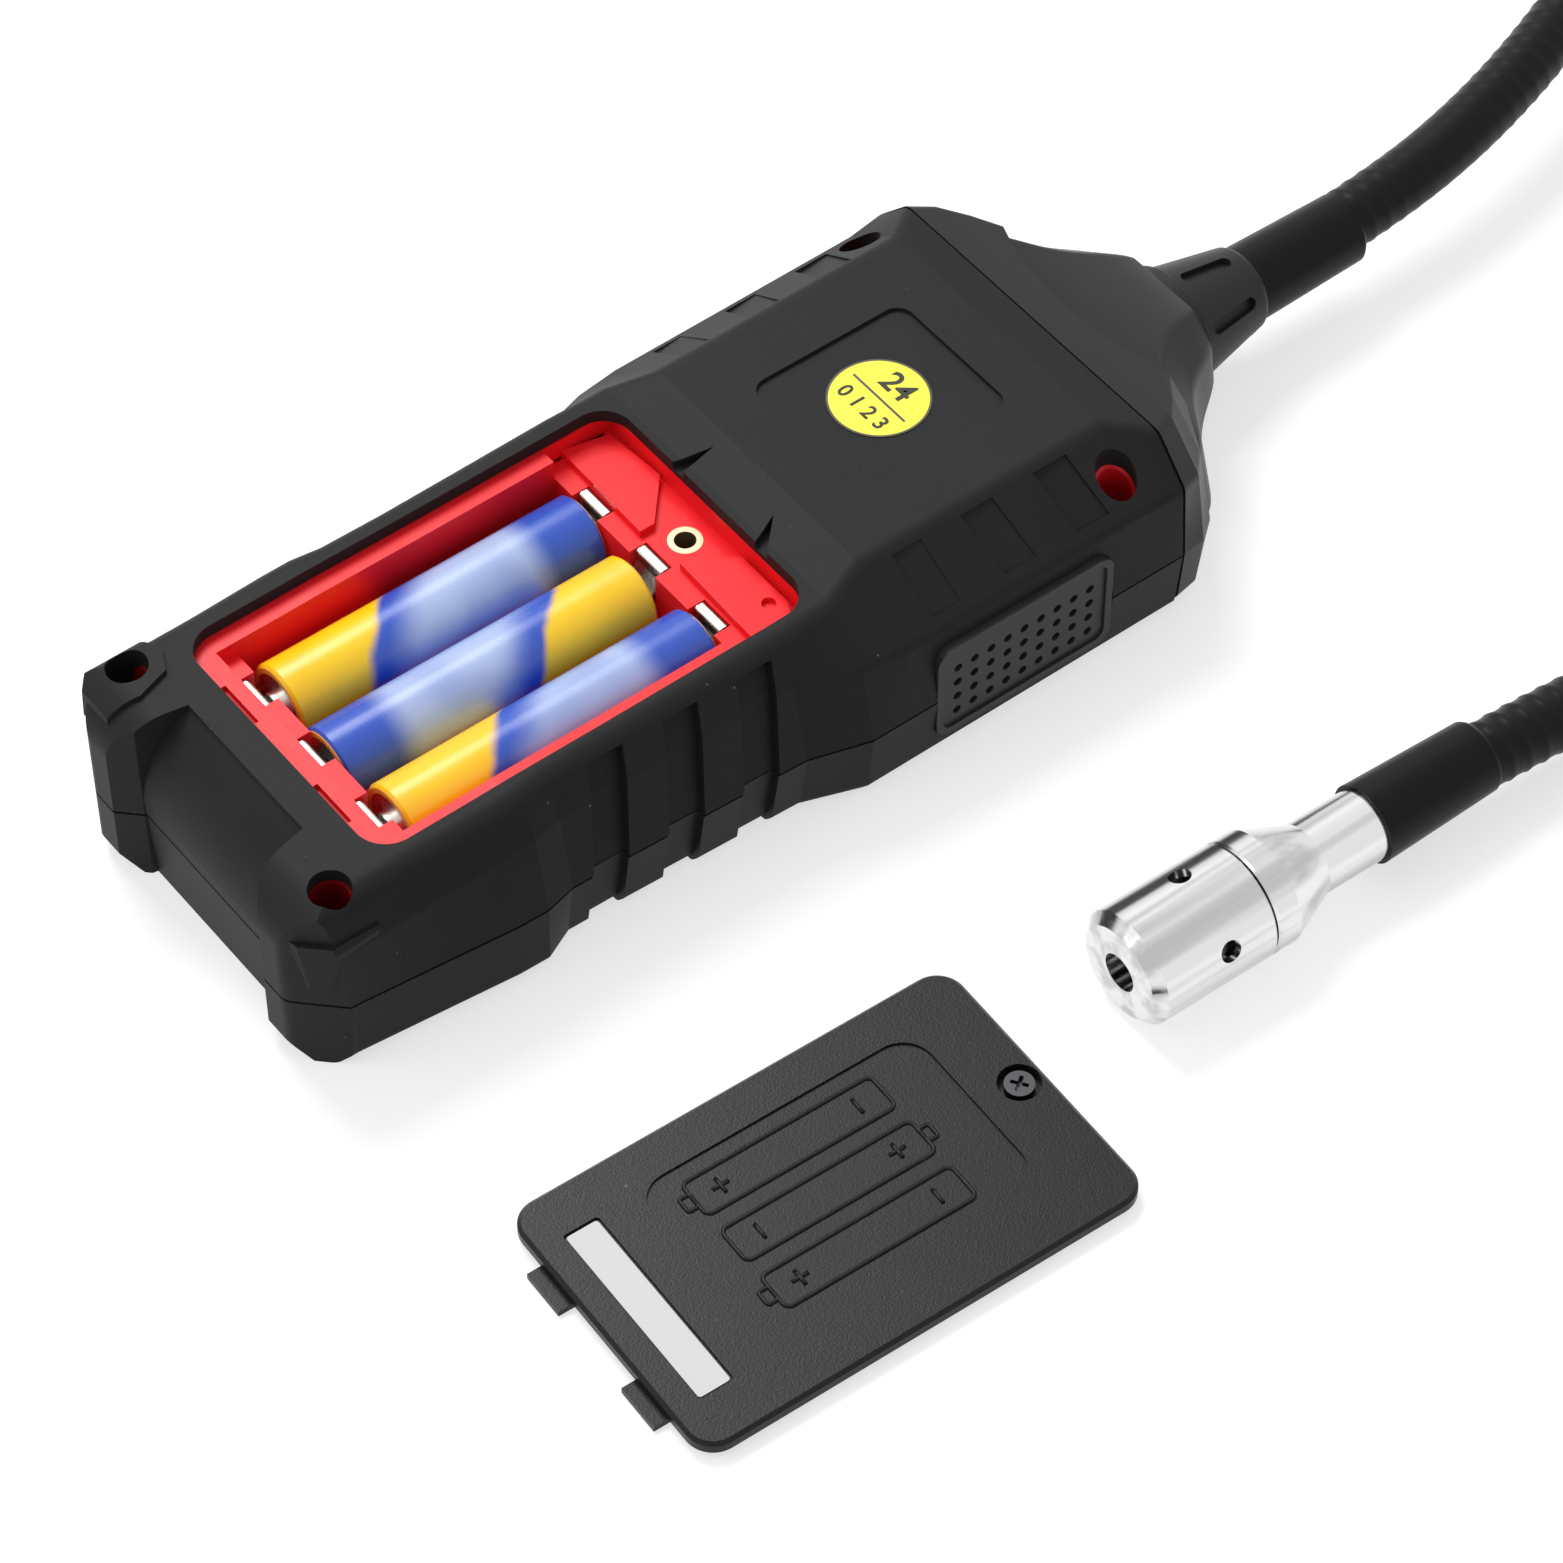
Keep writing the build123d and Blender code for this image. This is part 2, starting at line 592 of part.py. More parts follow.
with BuildPart() as circuit_board:
    with BuildSketch(Plane.XY.offset(board_z)):
        with Locations(((board_x[0] + board_x[1]) / 2, 0)):
            Rectangle(board_x[1] - board_x[0], 2 * board_half_width)
        with Locations(*[(x, s * y) for x, y in post_positions for s in (1, -1)]):
            Circle(0.8, mode=Mode.SUBTRACT)
        with Locations(*well_points):
            Circle(front_boss_radius + 0.4, mode=Mode.SUBTRACT)
    extrude(amount=board_thickness)
circuit_board.part.label = "circuit_board"

with BuildPart() as buzzer:
    with BuildSketch(Plane.XY.offset(board_z + board_thickness + 0.05)):
        with Locations((30.0, 0)):
            Circle(6.0)
    extrude(amount=6.5)
    with BuildSketch(Plane.XY.offset(board_z + board_thickness + 4.5)):
        with Locations((30.0, 0)):
            Circle(1.2)
    extrude(amount=5, mode=Mode.SUBTRACT)
buzzer.part.label = "buzzer"

key_switch_z = board_z - 1.6
with BuildPart() as key_switches:
    for x, y in key_positions:
        with BuildSketch(Plane.XY.offset(key_switch_z)):
            with Locations((x, y)):
                Rectangle(6.0, 6.0)
        extrude(amount=board_z - key_switch_z - 0.05)
key_switches.part.label = "key_switches"

keys = []
for (x, y), name in zip(key_positions, ("key_power", "key_up", "key_down")):
    with BuildPart() as key:
        with BuildSketch(Plane.XY.offset(panel_floor_z - 0.3)):
            with Locations((x, y)):
                Circle(key_radius)
        extrude(amount=flange_top_z - panel_floor_z + 0.4)
        with BuildSketch(Plane.XY.offset(flange_top_z + 0.05)):
            with Locations((x, y)):
                Circle(key_radius + key_flange)
        extrude(amount=0.7)
        with BuildSketch(Plane.XY.offset(flange_top_z + 0.5)):
            with Locations((x, y)):
                Circle(1.5)
        extrude(amount=key_switch_z - key_travel - 0.05 - flange_top_z - 0.5)
    key.part.label = name
    keys.append(key)

# Cells, each with its raised positive end
cells = []
for n, (y, cans, nub_side) in enumerate(((cell_pitch, outer_cells_x, -1), (0, middle_cell_x, 1),
                                         (-cell_pitch, outer_cells_x, -1))):
    with BuildPart() as cell:
        with BuildSketch(Plane(origin=(cans[0], y, cell_axis_z), x_dir=(0, 1, 0), z_dir=(1, 0, 0))):
            Circle(cell_radius)
        extrude(amount=cell_length)
        nub_x = cans[0] if nub_side < 0 else cans[1]
        with BuildSketch(Plane(origin=(nub_x, y, cell_axis_z), x_dir=(0, 1, 0), z_dir=(1, 0, 0))):
            Circle(nub_radius)
        extrude(amount=nub_side * nub_length)
        chamfer(cell.edges().filter_by(GeomType.CIRCLE).filter_by(lambda e: e.radius > 4), 0.4)
    cell.part.label = "cell_" + str(n + 1)
    cells.append(cell)

# Contacts: a folded strip in every slot, its front leg bulging to the cell
contacts = []
for end, face_x, slot_x in (("tail", -1, tray_tail_x - slot_depth), ("head", 1, tray_head_x + slot_depth)):
    for n, y in enumerate((cell_pitch, 0, -cell_pitch)):
        cans = middle_cell_x if n == 1 else outer_cells_x
        nub_here = (n == 1) == (end == "head")
        touch = cans[0] if end == "tail" else cans[1]
        touch = touch + face_x * (nub_length if nub_here else 0)
        back = slot_x - face_x * (contact_strip / 2 + 0.05)
        near = touch + face_x * (contact_strip / 2 + 0.02)
        top_near = slot_x - face_x * 1.5
        with BuildPart() as contact:
            with BuildSketch(Plane(origin=(0, y - contact_width / 2, 0), x_dir=(1, 0, 0), z_dir=(0, -1, 0))):
                with BuildLine() as strip:
                    FilletPolyline((back, slot_floor_z + 0.3), (back, contact_top_z - 0.2),
                                   (top_near, contact_top_z - 0.2), (top_near, cell_axis_z + 2.6),
                                   (near, cell_axis_z), (near + face_x * 0.5, slot_floor_z + 1.5), radius=0.3)
                trace(line_width=contact_strip)
            extrude(amount=-contact_width)
        contact.part.label = "contact_" + end + "_" + str(n + 1)
        contacts.append(contact)

with BuildPart() as threaded_insert:
    with BuildSketch(Plane.XY.offset(shelf_z - insert_length)):
        with Locations((insert_x, 0)):
            Circle(insert_radius - 0.02)
            Circle(insert_bore_radius, mode=Mode.SUBTRACT)
    extrude(amount=insert_length)
threaded_insert.part.label = "threaded_insert"

with BuildPart() as case_screws:
    with BuildSketch(Plane.XY.offset(screw_foot_z + 0.3)):
        with Locations(*well_points):
            Circle(screw_radius - 0.03)
    extrude(amount=screw_seat_z - screw_foot_z)
    with BuildSketch(Plane.XY.offset(screw_seat_z)):
        with Locations(*well_points):
            Circle(screw_head_radius)
    extrude(amount=screw_head_height)
    with BuildSketch(Plane.XY.offset(screw_seat_z + screw_head_height - 0.9)):
        with Locations(*well_points):
            Rectangle(2.4, 0.5)
            Rectangle(0.5, 2.4)
    extrude(amount=2, mode=Mode.SUBTRACT)
case_screws.part.label = "case_screws"

# Neck cap: a shoulder with a curved rear edge, and the nose that carries the gland
shoulder_sections = (
    (seam_x + seam_width + 0.1, 27.4, 29.2, 29.9, (29.1, 21.5), (23.9, 27.1), 0.0),
    (54.8, 26.6, 28.7, 29.6, (27.8, 20.8), (22.2, 26.4), 0.1),
    (57.6, 24.0, 26.4, 27.5, (24.8, 20.4), (19.0, 25.7), 0.3),
    (66.4, 9.6, 11.8, 13.6, (10.6, 18.8), (6.6, 23.4), 2.0),
)
nose_sections = (
    (seam_x + 3, 20.0, 24.6, 26.6, (25.0, 20.0), (18.8, 24.9), 0.8),
    (60.0, 17.6, 22.6, 24.9, (22.2, 19.5), (14.2, 24.0), 1.0),
    (66.0, 10.6, 14.0, 16.2, (14.4, 18.6), (8.6, 22.4), 1.2),
    (70.2, 8.0, 11.0, 12.6, (11.6, 17.5), (6.8, 20.9), 1.6),
    (gland_start_x, 6.2, 9.2, 10.4, (9.6, 16.2), (5.8, 19.6), 2.0),
)


def cap_loft(sections, ruled, radius):
    """Loft through mirrored ten-sided sections with rounded corners."""
    with BuildPart() as body:
        for x, b, w_low, w_mid, low, high, z0 in sections:
            with BuildSketch(Plane(origin=(x, 0, 0), x_dir=(0, 1, 0), z_dir=(1, 0, 0))) as section:
                with BuildLine():
                    Polyline((-b, z0), (-w_low, z0 + 2.4), (-w_mid, parting_z), (-low[0], low[1]),
                             (-high[0], high[1]), (high[0], high[1]), (low[0], low[1]),
                             (w_mid, parting_z), (w_low, z0 + 2.4), (b, z0), close=True)
                make_face()
                fillet(section.vertices(), radius)
        loft(ruled=ruled)
    return body.part


rim_x, rim_b, rim_low, rim_mid, rim_flank, rim_top, rim_z = shoulder_sections[0]
with BuildPart() as neck_cap:
    add(cap_loft(shoulder_sections, True, 1.8))
    with BuildSketch(Plane.XY.offset(-1)):
        with Locations((96.8, 0)):
            Circle(40.0)
    extrude(amount=40, mode=Mode.SUBTRACT)
    add(cap_loft(nose_sections, False, 1.9))
    # A smaller rim keeps the shadow gap at the joint with the housing
    add(cap_loft([(x, rim_b - seam_inset, rim_low - seam_inset, rim_mid - seam_inset,
                   (rim_flank[0] - seam_inset, rim_flank[1] - 0.3), (rim_top[0] - 0.3, rim_top[1] - seam_inset),
                   rim_z + seam_inset) for x in (seam_x + case_gap, seam_x + 1.0)], True, 1.6))
    with BuildSketch(Plane(origin=(seam_x, 0, 13.0), x_dir=(0, 1, 0), z_dir=(1, 0, 0))):
        Rectangle(36, 18)
    extrude(amount=6.5, mode=Mode.SUBTRACT)
    with BuildSketch(Plane(origin=(bore_bottom_x - 8, 0, neck_axis_z), x_dir=(0, 1, 0), z_dir=(1, 0, 0))):
        Circle(gooseneck_radius + neck_gap)
    extrude(amount=20, mode=Mode.SUBTRACT)
    with BuildSketch(Plane(origin=(seam_x, 0, neck_axis_z), x_dir=(0, 1, 0), z_dir=(1, 0, 0))):
        Circle(2.6)
    extrude(amount=25, mode=Mode.SUBTRACT)
neck_cap.part.label = "neck_cap"

# Slotted gland round the foot of the gooseneck
with BuildPart() as neck_gland:
    with BuildSketch(Plane.XZ):
        with BuildLine():
            Polyline((gland_start_x + 0.05, neck_axis_z + gooseneck_radius + neck_gap),
                     (gland_start_x + 0.05, neck_axis_z + gland_base_radius),
                     (gland_start_x + 1.6, neck_axis_z + gland_base_radius),
                     (gland_start_x + 2.2, neck_axis_z + gland_base_radius - 0.7),
                     (gland_end_x - 0.8, neck_axis_z + gland_tip_radius + 0.15),
                     (gland_end_x, neck_axis_z + gland_tip_radius - 0.4),
                     (gland_end_x, neck_axis_z + gooseneck_radius + neck_gap), close=True)
        make_face()
    revolve(axis=Axis((0, 0, neck_axis_z), (1, 0, 0)))
    for n in range(gland_slots):
        turn = radians(30 + n * 360 / gland_slots)
        rise = gland_base_radius - 0.7 - gland_slot_depth
        lean = (gland_base_radius - gland_tip_radius - 0.85) / (gland_end_x - gland_start_x - 3.0)
        slot_plane = Plane(origin=(gland_start_x + 2.4, rise * cos(turn), neck_axis_z + rise * sin(turn)),
                           x_dir=(1, -lean * cos(turn), -lean * sin(turn)),
                           z_dir=(lean, cos(turn), sin(turn)))
        with BuildSketch(slot_plane):
            with Locations((gland_slot_length / 2 + 0.6, 0)):
                SlotOverall(gland_slot_length, gland_slot_width)
        extrude(amount=6, mode=Mode.SUBTRACT)
neck_gland.part.label = "neck_gland"

with BuildPart() as base_sleeve:
    with BuildSketch(Plane.XZ):
        with BuildLine():
            Polyline((gland_end_x + 0.05, neck_axis_z + gooseneck_radius + 0.04),
                     (gland_end_x + 0.05, neck_axis_z + sleeve_radius),
                     (base_sleeve_end_x - 0.4, neck_axis_z + sleeve_end_radius),
                     (base_sleeve_end_x, neck_axis_z + sleeve_end_radius - 0.35),
                     (base_sleeve_end_x, neck_axis_z + gooseneck_radius + 0.04), close=True)
        make_face()
    revolve(axis=Axis((0, 0, neck_axis_z), (1, 0, 0)))
base_sleeve.part.label = "base_sleeve"

# Probe at the far end, resting on the table
heading = radians(probe_heading)
probe_dir = (cos(heading), sin(heading), 0)
probe_side = (sin(heading), -cos(heading), 0)
probe_plane = Plane(origin=(probe_front[0], probe_front[1], probe_radius), x_dir=probe_dir, z_dir=probe_side)
probe_axis = Axis((probe_front[0], probe_front[1], probe_radius), probe_dir)


def probe_point(along, rise=0.0):
    """Point on the probe's axis, measured from its front."""
    return (probe_front[0] + along * cos(heading), probe_front[1] + along * sin(heading), probe_radius + rise)


with BuildPart() as probe_cap:
    with BuildSketch(probe_plane):
        with BuildLine():
            Polyline((0, inlet_radius), (0, probe_radius - 1.3), (1.3, probe_radius),
                     (probe_ring_start - 0.5, probe_radius), (probe_ring_start - 0.1, probe_radius - 0.4),
                     (probe_ring_start - 0.1, probe_radius - 1.0), (2.2, probe_radius - 1.0),
                     (2.2, inlet_radius), close=True)
        make_face()
    revolve(axis=probe_axis)
    for n in range(4):
        turn = radians(90 * n + side_hole_turn)
        out = (-sin(heading) * cos(turn), cos(heading) * cos(turn), sin(turn))
        with BuildSketch(Plane(origin=probe_point(side_hole_at), x_dir=probe_dir, z_dir=out)):
            Circle(side_hole_radius)
        extrude(amount=9, mode=Mode.SUBTRACT)
probe_cap.part.label = "probe_cap"

with BuildPart() as probe_base:
    with BuildSketch(probe_plane):
        with BuildLine():
            Polyline((probe_ring_start - 3.6, 5.6), (probe_ring_start - 3.6, probe_radius - 1.05),
                     (probe_ring_start, probe_radius - 1.05), (probe_ring_start, probe_radius - 0.3),
                     (probe_ring_start + 0.3, probe_radius), (probe_ring_end, probe_radius),
                     (probe_taper_end, probe_neck_radius), (probe_neck_end, probe_neck_radius),
                     (probe_neck_end, gooseneck_radius + 0.02), (probe_bore_start, gooseneck_radius + 0.02),
                     (probe_bore_start, 1.5), (probe_ring_end - 1.0, 1.5), (probe_ring_end - 1.0, 5.6),
                     close=True)
        make_face()
    revolve(axis=probe_axis)
probe_base.part.label = "probe_base"

with BuildPart() as sensor:
    with BuildSketch(probe_plane):
        with BuildLine():
            Polyline((11.6, 0), (11.6, 2.6), (12.2, 4.4), (18.0, 4.4), (18.0, 5.5), (19.7, 5.5), (19.7, 0),
                     close=True)
        make_face()
    revolve(axis=probe_axis)
sensor.part.label = "sensor"

with BuildPart() as tip_sleeve:
    with BuildSketch(probe_plane):
        with BuildLine():
            Polyline((probe_neck_end + 0.05, gooseneck_radius + 0.04), (probe_neck_end + 0.05, tip_sleeve_radius),
                     (tip_sleeve_end - 0.5, tip_sleeve_radius - 0.5), (tip_sleeve_end, tip_sleeve_radius - 0.8),
                     (tip_sleeve_end, gooseneck_radius + 0.04), close=True)
        make_face()
    revolve(axis=probe_axis)
tip_sleeve.part.label = "tip_sleeve"

# Gooseneck: from the bottom of the neck cap's bore, round a wide turn and back to the probe
route = [
    (bore_bottom_x, 0, neck_axis_z),
    (104.0, 0, 10.8),
    (131.3, 2.9, 13.0),
    (162.4, 14.2, 14.5),
    (196.0, 8.0, 14.0),
    (218.0, -17.0, 12.0),
    (219.5, -50.5, 9.0),
    (200.0, -78.5, 6.4),
    (168.0, -88.5, 4.8),
    (134.0, -84.5, 4.4),
    (101.0, -77.0, 4.8),
    probe_point(62.0),
    probe_point(probe_bore_start),
]
vectors = [Vector(*b) - Vector(*a) for a, b in zip(route[:-1], route[1:])]
turns = [radians(a.get_angle(b)) for a, b in zip(vectors[:-1], vectors[1:])]
bend_radii = [0.45 * min(a.length, b.length) / tan(t / 2) for a, b, t in zip(vectors[:-1], vectors[1:], turns)]
print("gooseneck bend radii", [round(r, 1) for r in bend_radii])
with BuildPart() as gooseneck:
    with BuildLine() as centre:
        FilletPolyline(*route, radius=bend_radii)
    with BuildSketch(Plane(origin=route[0], z_dir=vectors[0])):
        Circle(gooseneck_radius)
    sweep(path=centre.wire())
print("gooseneck length", round(centre.wire().length, 1), "volume ratio",
      round(gooseneck.part.volume / (centre.wire().length * 3.14159265 * gooseneck_radius ** 2), 4))
gooseneck.part.label = "gooseneck"

# Battery cover beside the body, outer face up
cover_turn = radians(cover_yaw)
cover_plane = Plane(origin=(cover_centre[0], cover_centre[1], 0), x_dir=(cos(cover_turn), sin(cover_turn), 0),
                    z_dir=(0, 0, 1))
cover_under = cover_height - cover_plate
screw_x = cover_length / 2 - cover_screw_inset
with BuildPart() as battery_cover:
    with BuildSketch(cover_plane.offset(cover_under)):
        RectangleRounded(cover_length, cover_width, cover_corner)
    extrude(amount=cover_plate)
    chamfer(battery_cover.faces().sort_by(Axis.Z)[-1].edges(), 0.45)
    with BuildSketch(cover_plane):
        RectangleRounded(cover_length - 1.6, cover_width - 4.8, cover_corner - 0.8)
        RectangleRounded(cover_length - 1.6 - 2 * cover_skirt, cover_width - 4.8 - 2 * cover_skirt,
                         cover_corner - 1.6, mode=Mode.SUBTRACT)
        with Locations((screw_x, cover_screw_y)):
            Circle(3.1)
        for s in (1, -1):
            with Locations((-cover_length / 2 - cover_tab_reach / 2 + 1.0, s * cover_tab_spacing / 2)):
                Rectangle(cover_tab_reach + 2.0, cover_tab_width)
    extrude(amount=cover_under + 0.1)
    with BuildSketch(cover_plane.offset(cover_tab_thickness)):
        for s in (1, -1):
            with Locations((-cover_length / 2 - cover_tab_reach, s * cover_tab_spacing / 2)):
                Rectangle(2 * cover_tab_reach, cover_tab_width + 1)
    extrude(amount=3, mode=Mode.SUBTRACT)
    with BuildSketch(cover_plane.offset(cover_under + 0.2)):
        with Locations((screw_x, cover_screw_y)):
            Circle(2.6)
    extrude(amount=3, mode=Mode.SUBTRACT)
    with BuildSketch(cover_plane):
        with Locations((screw_x, cover_screw_y)):
            Circle(1.15)
    extrude(amount=3, mode=Mode.SUBTRACT)
    with BuildSketch(cover_plane.offset(cover_height - panel_recess)):
        with Locations((text_panel[2], text_panel[3])):
            RectangleRounded(text_panel[0], text_panel[1], 4)
        with Locations((label_x, 0)):
            RectangleRounded(label_size[0] + 0.6, label_size[1] + 0.6, 0.5)
    extrude(amount=1, mode=Mode.SUBTRACT)
battery_cover.part.label = "battery_cover"

with BuildPart() as cover_label:
    with BuildSketch(cover_plane.offset(cover_height - panel_recess + 0.01)):
        with Locations((label_x, 0)):
            RectangleRounded(label_size[0], label_size[1], 0.4)
    extrude(amount=label_thickness)
cover_label.part.label = "cover_label"

cover_screw_plane = Plane(origin=cover_plane.from_local_coords((screw_x, cover_screw_y, cover_under + 0.22)))
with BuildPart() as cover_screw:
    with BuildSketch(cover_screw_plane):
        Circle(1.8)
    extrude(amount=1.2)
    with BuildSketch(cover_screw_plane):
        Circle(1.0)
    extrude(amount=-1.15)
    with BuildSketch(cover_screw_plane.offset(0.5)):
        Rectangle(2.2, 0.5, rotation=35)
        Rectangle(0.5, 2.2, rotation=35)
    extrude(amount=2, mode=Mode.SUBTRACT)
cover_screw.part.label = "cover_screw"

with BuildPart() as round_sticker:
    with BuildSketch(Plane.XY.offset(plateau_z - recess_depth + 0.01)):
        with Locations((sticker_x - 0.1, 0)):
            Circle(6.35)
    extrude(amount=label_thickness)
round_sticker.part.label = "round_sticker"

pieces = [rear_rubber, rear_shell, front_shell, face_panel, display_window, display_module, circuit_board,
          key_switches, buzzer, threaded_insert, case_screws, neck_cap, neck_gland, base_sleeve, gooseneck,
          tip_sleeve, probe_base, probe_cap, sensor, battery_cover, cover_label, cover_screw, round_sticker]
for piece in pieces + grilles + keys + cells + contacts:
    export_step(piece.part, "parts/" + piece.part.label + ".step")
    print(piece.part.label, len(piece.part.solids()), piece.part.is_valid, round(piece.part.volume, 1))
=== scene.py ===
# %% [markdown]
# # Gas leak detector, seen from the back with its battery bay open
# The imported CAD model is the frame: every housing part, screw, cell and contact is already in its
# place. This file dresses it. It gives each part a material, replaces the plain gooseneck tube with
# one that shows its wound ridges, adds the small raised marks on the battery cover, the figures on
# the sticker and a fairing under each tail pad, and sets up a white studio with the camera of the
# photograph.

# %% Load the frame
import json
import math
import bpy
import numpy as np
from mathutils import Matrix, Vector

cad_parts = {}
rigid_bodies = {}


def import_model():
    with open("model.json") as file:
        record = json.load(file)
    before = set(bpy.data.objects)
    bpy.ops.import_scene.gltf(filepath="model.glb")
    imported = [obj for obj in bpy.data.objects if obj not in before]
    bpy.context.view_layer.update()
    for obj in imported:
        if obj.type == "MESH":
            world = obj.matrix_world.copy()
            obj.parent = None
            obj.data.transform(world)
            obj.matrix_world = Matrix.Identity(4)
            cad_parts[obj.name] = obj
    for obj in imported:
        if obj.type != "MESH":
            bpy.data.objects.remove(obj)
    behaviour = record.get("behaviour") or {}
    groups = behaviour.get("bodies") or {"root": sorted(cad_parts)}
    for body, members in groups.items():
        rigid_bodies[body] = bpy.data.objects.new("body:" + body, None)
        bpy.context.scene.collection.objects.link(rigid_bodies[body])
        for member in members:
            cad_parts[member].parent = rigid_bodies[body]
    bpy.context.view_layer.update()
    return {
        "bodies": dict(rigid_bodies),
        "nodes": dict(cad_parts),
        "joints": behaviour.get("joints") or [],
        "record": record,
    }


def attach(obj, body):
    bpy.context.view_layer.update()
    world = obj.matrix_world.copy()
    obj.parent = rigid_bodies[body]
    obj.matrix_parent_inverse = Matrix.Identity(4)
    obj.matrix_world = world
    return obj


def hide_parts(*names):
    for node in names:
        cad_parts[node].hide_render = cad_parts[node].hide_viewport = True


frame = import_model()
MM = 0.001
BODY = "housing"

# %% [markdown]
# ## Writing materials as sums
# A material is a small graph of nodes. Wrapping a socket in a class with +, - and * makes a pattern
# read like a formula, and each operator adds its Math node behind the scenes.


# %% A socket that can be calculated with
class Wire:
    """A number or colour that flows between nodes. Operators add Math nodes."""

    def __init__(self, shader, socket):
        self.shader = shader
        self.socket = socket

    def math(self, operation, *others):
        return self.shader.node("ShaderNodeMath", {"operation": operation}, [self, *others])

    def __add__(self, other):
        return self.math("ADD", other)

    def __radd__(self, other):
        return self.shader.node("ShaderNodeMath", {"operation": "ADD"}, [other, self])

    def __sub__(self, other):
        return self.math("SUBTRACT", other)

    def __rsub__(self, other):
        return self.shader.node("ShaderNodeMath", {"operation": "SUBTRACT"}, [other, self])

    def __mul__(self, other):
        return self.math("MULTIPLY", other)

    def __rmul__(self, other):
        return self.shader.node("ShaderNodeMath", {"operation": "MULTIPLY"}, [other, self])

    def __truediv__(self, other):
        return self.math("DIVIDE", other)

    def __rtruediv__(self, other):
        return self.shader.node("ShaderNodeMath", {"operation": "DIVIDE"}, [other, self])

    def __neg__(self):
        return self.math("MULTIPLY", -1.0)

    def __abs__(self):
        return self.math("ABSOLUTE")

    def above(self, edge, soft=0.0):
        """1 where the value is over the edge, with a ramp of that softness."""
        if soft <= 0:
            return self.math("GREATER_THAN", edge)
        return self.shader.node("ShaderNodeMapRange", {"interpolation_type": "SMOOTHSTEP"},
                                {"Value": self, "From Min": edge - soft, "From Max": edge + soft})

    def below(self, edge, soft=0.0):
        return 1.0 - self.above(edge, soft)


class Shader:
    """One material and its node tree."""

    def __init__(self, name):
        self.material = bpy.data.materials.new(name)
        self.material.use_nodes = True
        self.tree = self.material.node_tree
        self.surface = self.tree.nodes["Principled BSDF"]

    def node(self, kind, settings=None, inputs=None, out=0):
        """Add any node. Settings come first, then values or wires for its sockets."""
        made = self.tree.nodes.new(kind)
        for name, value in (settings or {}).items():
            setattr(made, name, value)
        pairs = enumerate(inputs) if isinstance(inputs, (list, tuple)) else (inputs or {}).items()
        for key, value in pairs:
            self.join(value, made.inputs[key])
        return Wire(self, made.outputs[out])

    def join(self, value, socket):
        if isinstance(value, Wire):
            self.tree.links.new(value.socket, socket)
        elif socket.type == "RGBA" and not isinstance(value, (int, float)):
            socket.default_value = (*value[:3], 1.0)
        else:
            socket.default_value = value

    def place(self):
        """Object coordinates in millimetres as three wires."""
        where = self.node("ShaderNodeTexCoord", out="Object")
        scaled = self.node("ShaderNodeVectorMath", {"operation": "SCALE"},
                           {0: where, "Scale": 1.0 / MM})
        split = self.node("ShaderNodeSeparateXYZ", inputs=[scaled])
        nodes = split.socket.node
        return scaled, [Wire(self, nodes.outputs[i]) for i in range(3)]

    def noise(self, where, scale, detail=2.0, roughness=0.5):
        return self.node("ShaderNodeTexNoise", out="Fac",
                         inputs={"Vector": where, "Scale": scale, "Detail": detail,
                                 "Roughness": roughness})

    def mix(self, mask, low, high):
        """A colour that goes from low to high as the mask goes from 0 to 1."""
        made = self.tree.nodes.new("ShaderNodeMix")
        made.data_type = "RGBA"
        self.join(mask, made.inputs[0])
        self.join(low, made.inputs[6])
        self.join(high, made.inputs[7])
        return Wire(self, made.outputs[2])

    def bump(self, height, distance, strength=1.0):
        return self.node("ShaderNodeBump", inputs={"Height": height, "Distance": distance,
                                                   "Strength": strength})

    def set(self, **values):
        for name, value in values.items():
            self.join(value, self.surface.inputs[name.replace("_", " ")])


def dress(material, *nodes):
    """Give a material to CAD nodes by name."""
    for name in nodes:
        for slot in frame["nodes"][name].material_slots:
            slot.material = material


print("frame keys", sorted(frame))

# %% [markdown]
# ## Black rubber, black plastic and red plastic
# The skin over the back is soft rubber with a fine, dry spark-eroded grain. The front half and the
# neck cap are moulded plastic with the same grain, a little tighter. The red shell is smooth and
# glossier, which makes it look bright next to the black.


# %% Moulded materials
def grained(name, colour, roughness, grain_size, grain_height, gloss=0.22, variation=0.12,
            dust=0.0):
    """Moulded surface: fine noise for the grain, broad noise for the tone, rare specks of lint."""
    made = Shader(name)
    where, _ = made.place()
    tone = made.noise(where, 0.06, 3.0)
    fine = made.noise(where, 1.0 / grain_size, 3.0, 0.6)
    dark = tuple(c * (1 - variation) for c in colour)
    light = tuple(c * (1 + variation) for c in colour)
    base = made.mix(tone, dark, light)
    if dust > 0:
        lint = made.noise(where, 1.3, 1.0, 0.3).above(0.835, 0.01)
        base = made.mix(dust * lint, base, (0.30, 0.30, 0.30))
    made.surface.inputs["Specular IOR Level"].default_value = gloss
    made.set(Base_Color=base, Roughness=roughness - 0.06 + 0.12 * fine,
             Normal=made.bump(fine, grain_height * MM))
    return made.material


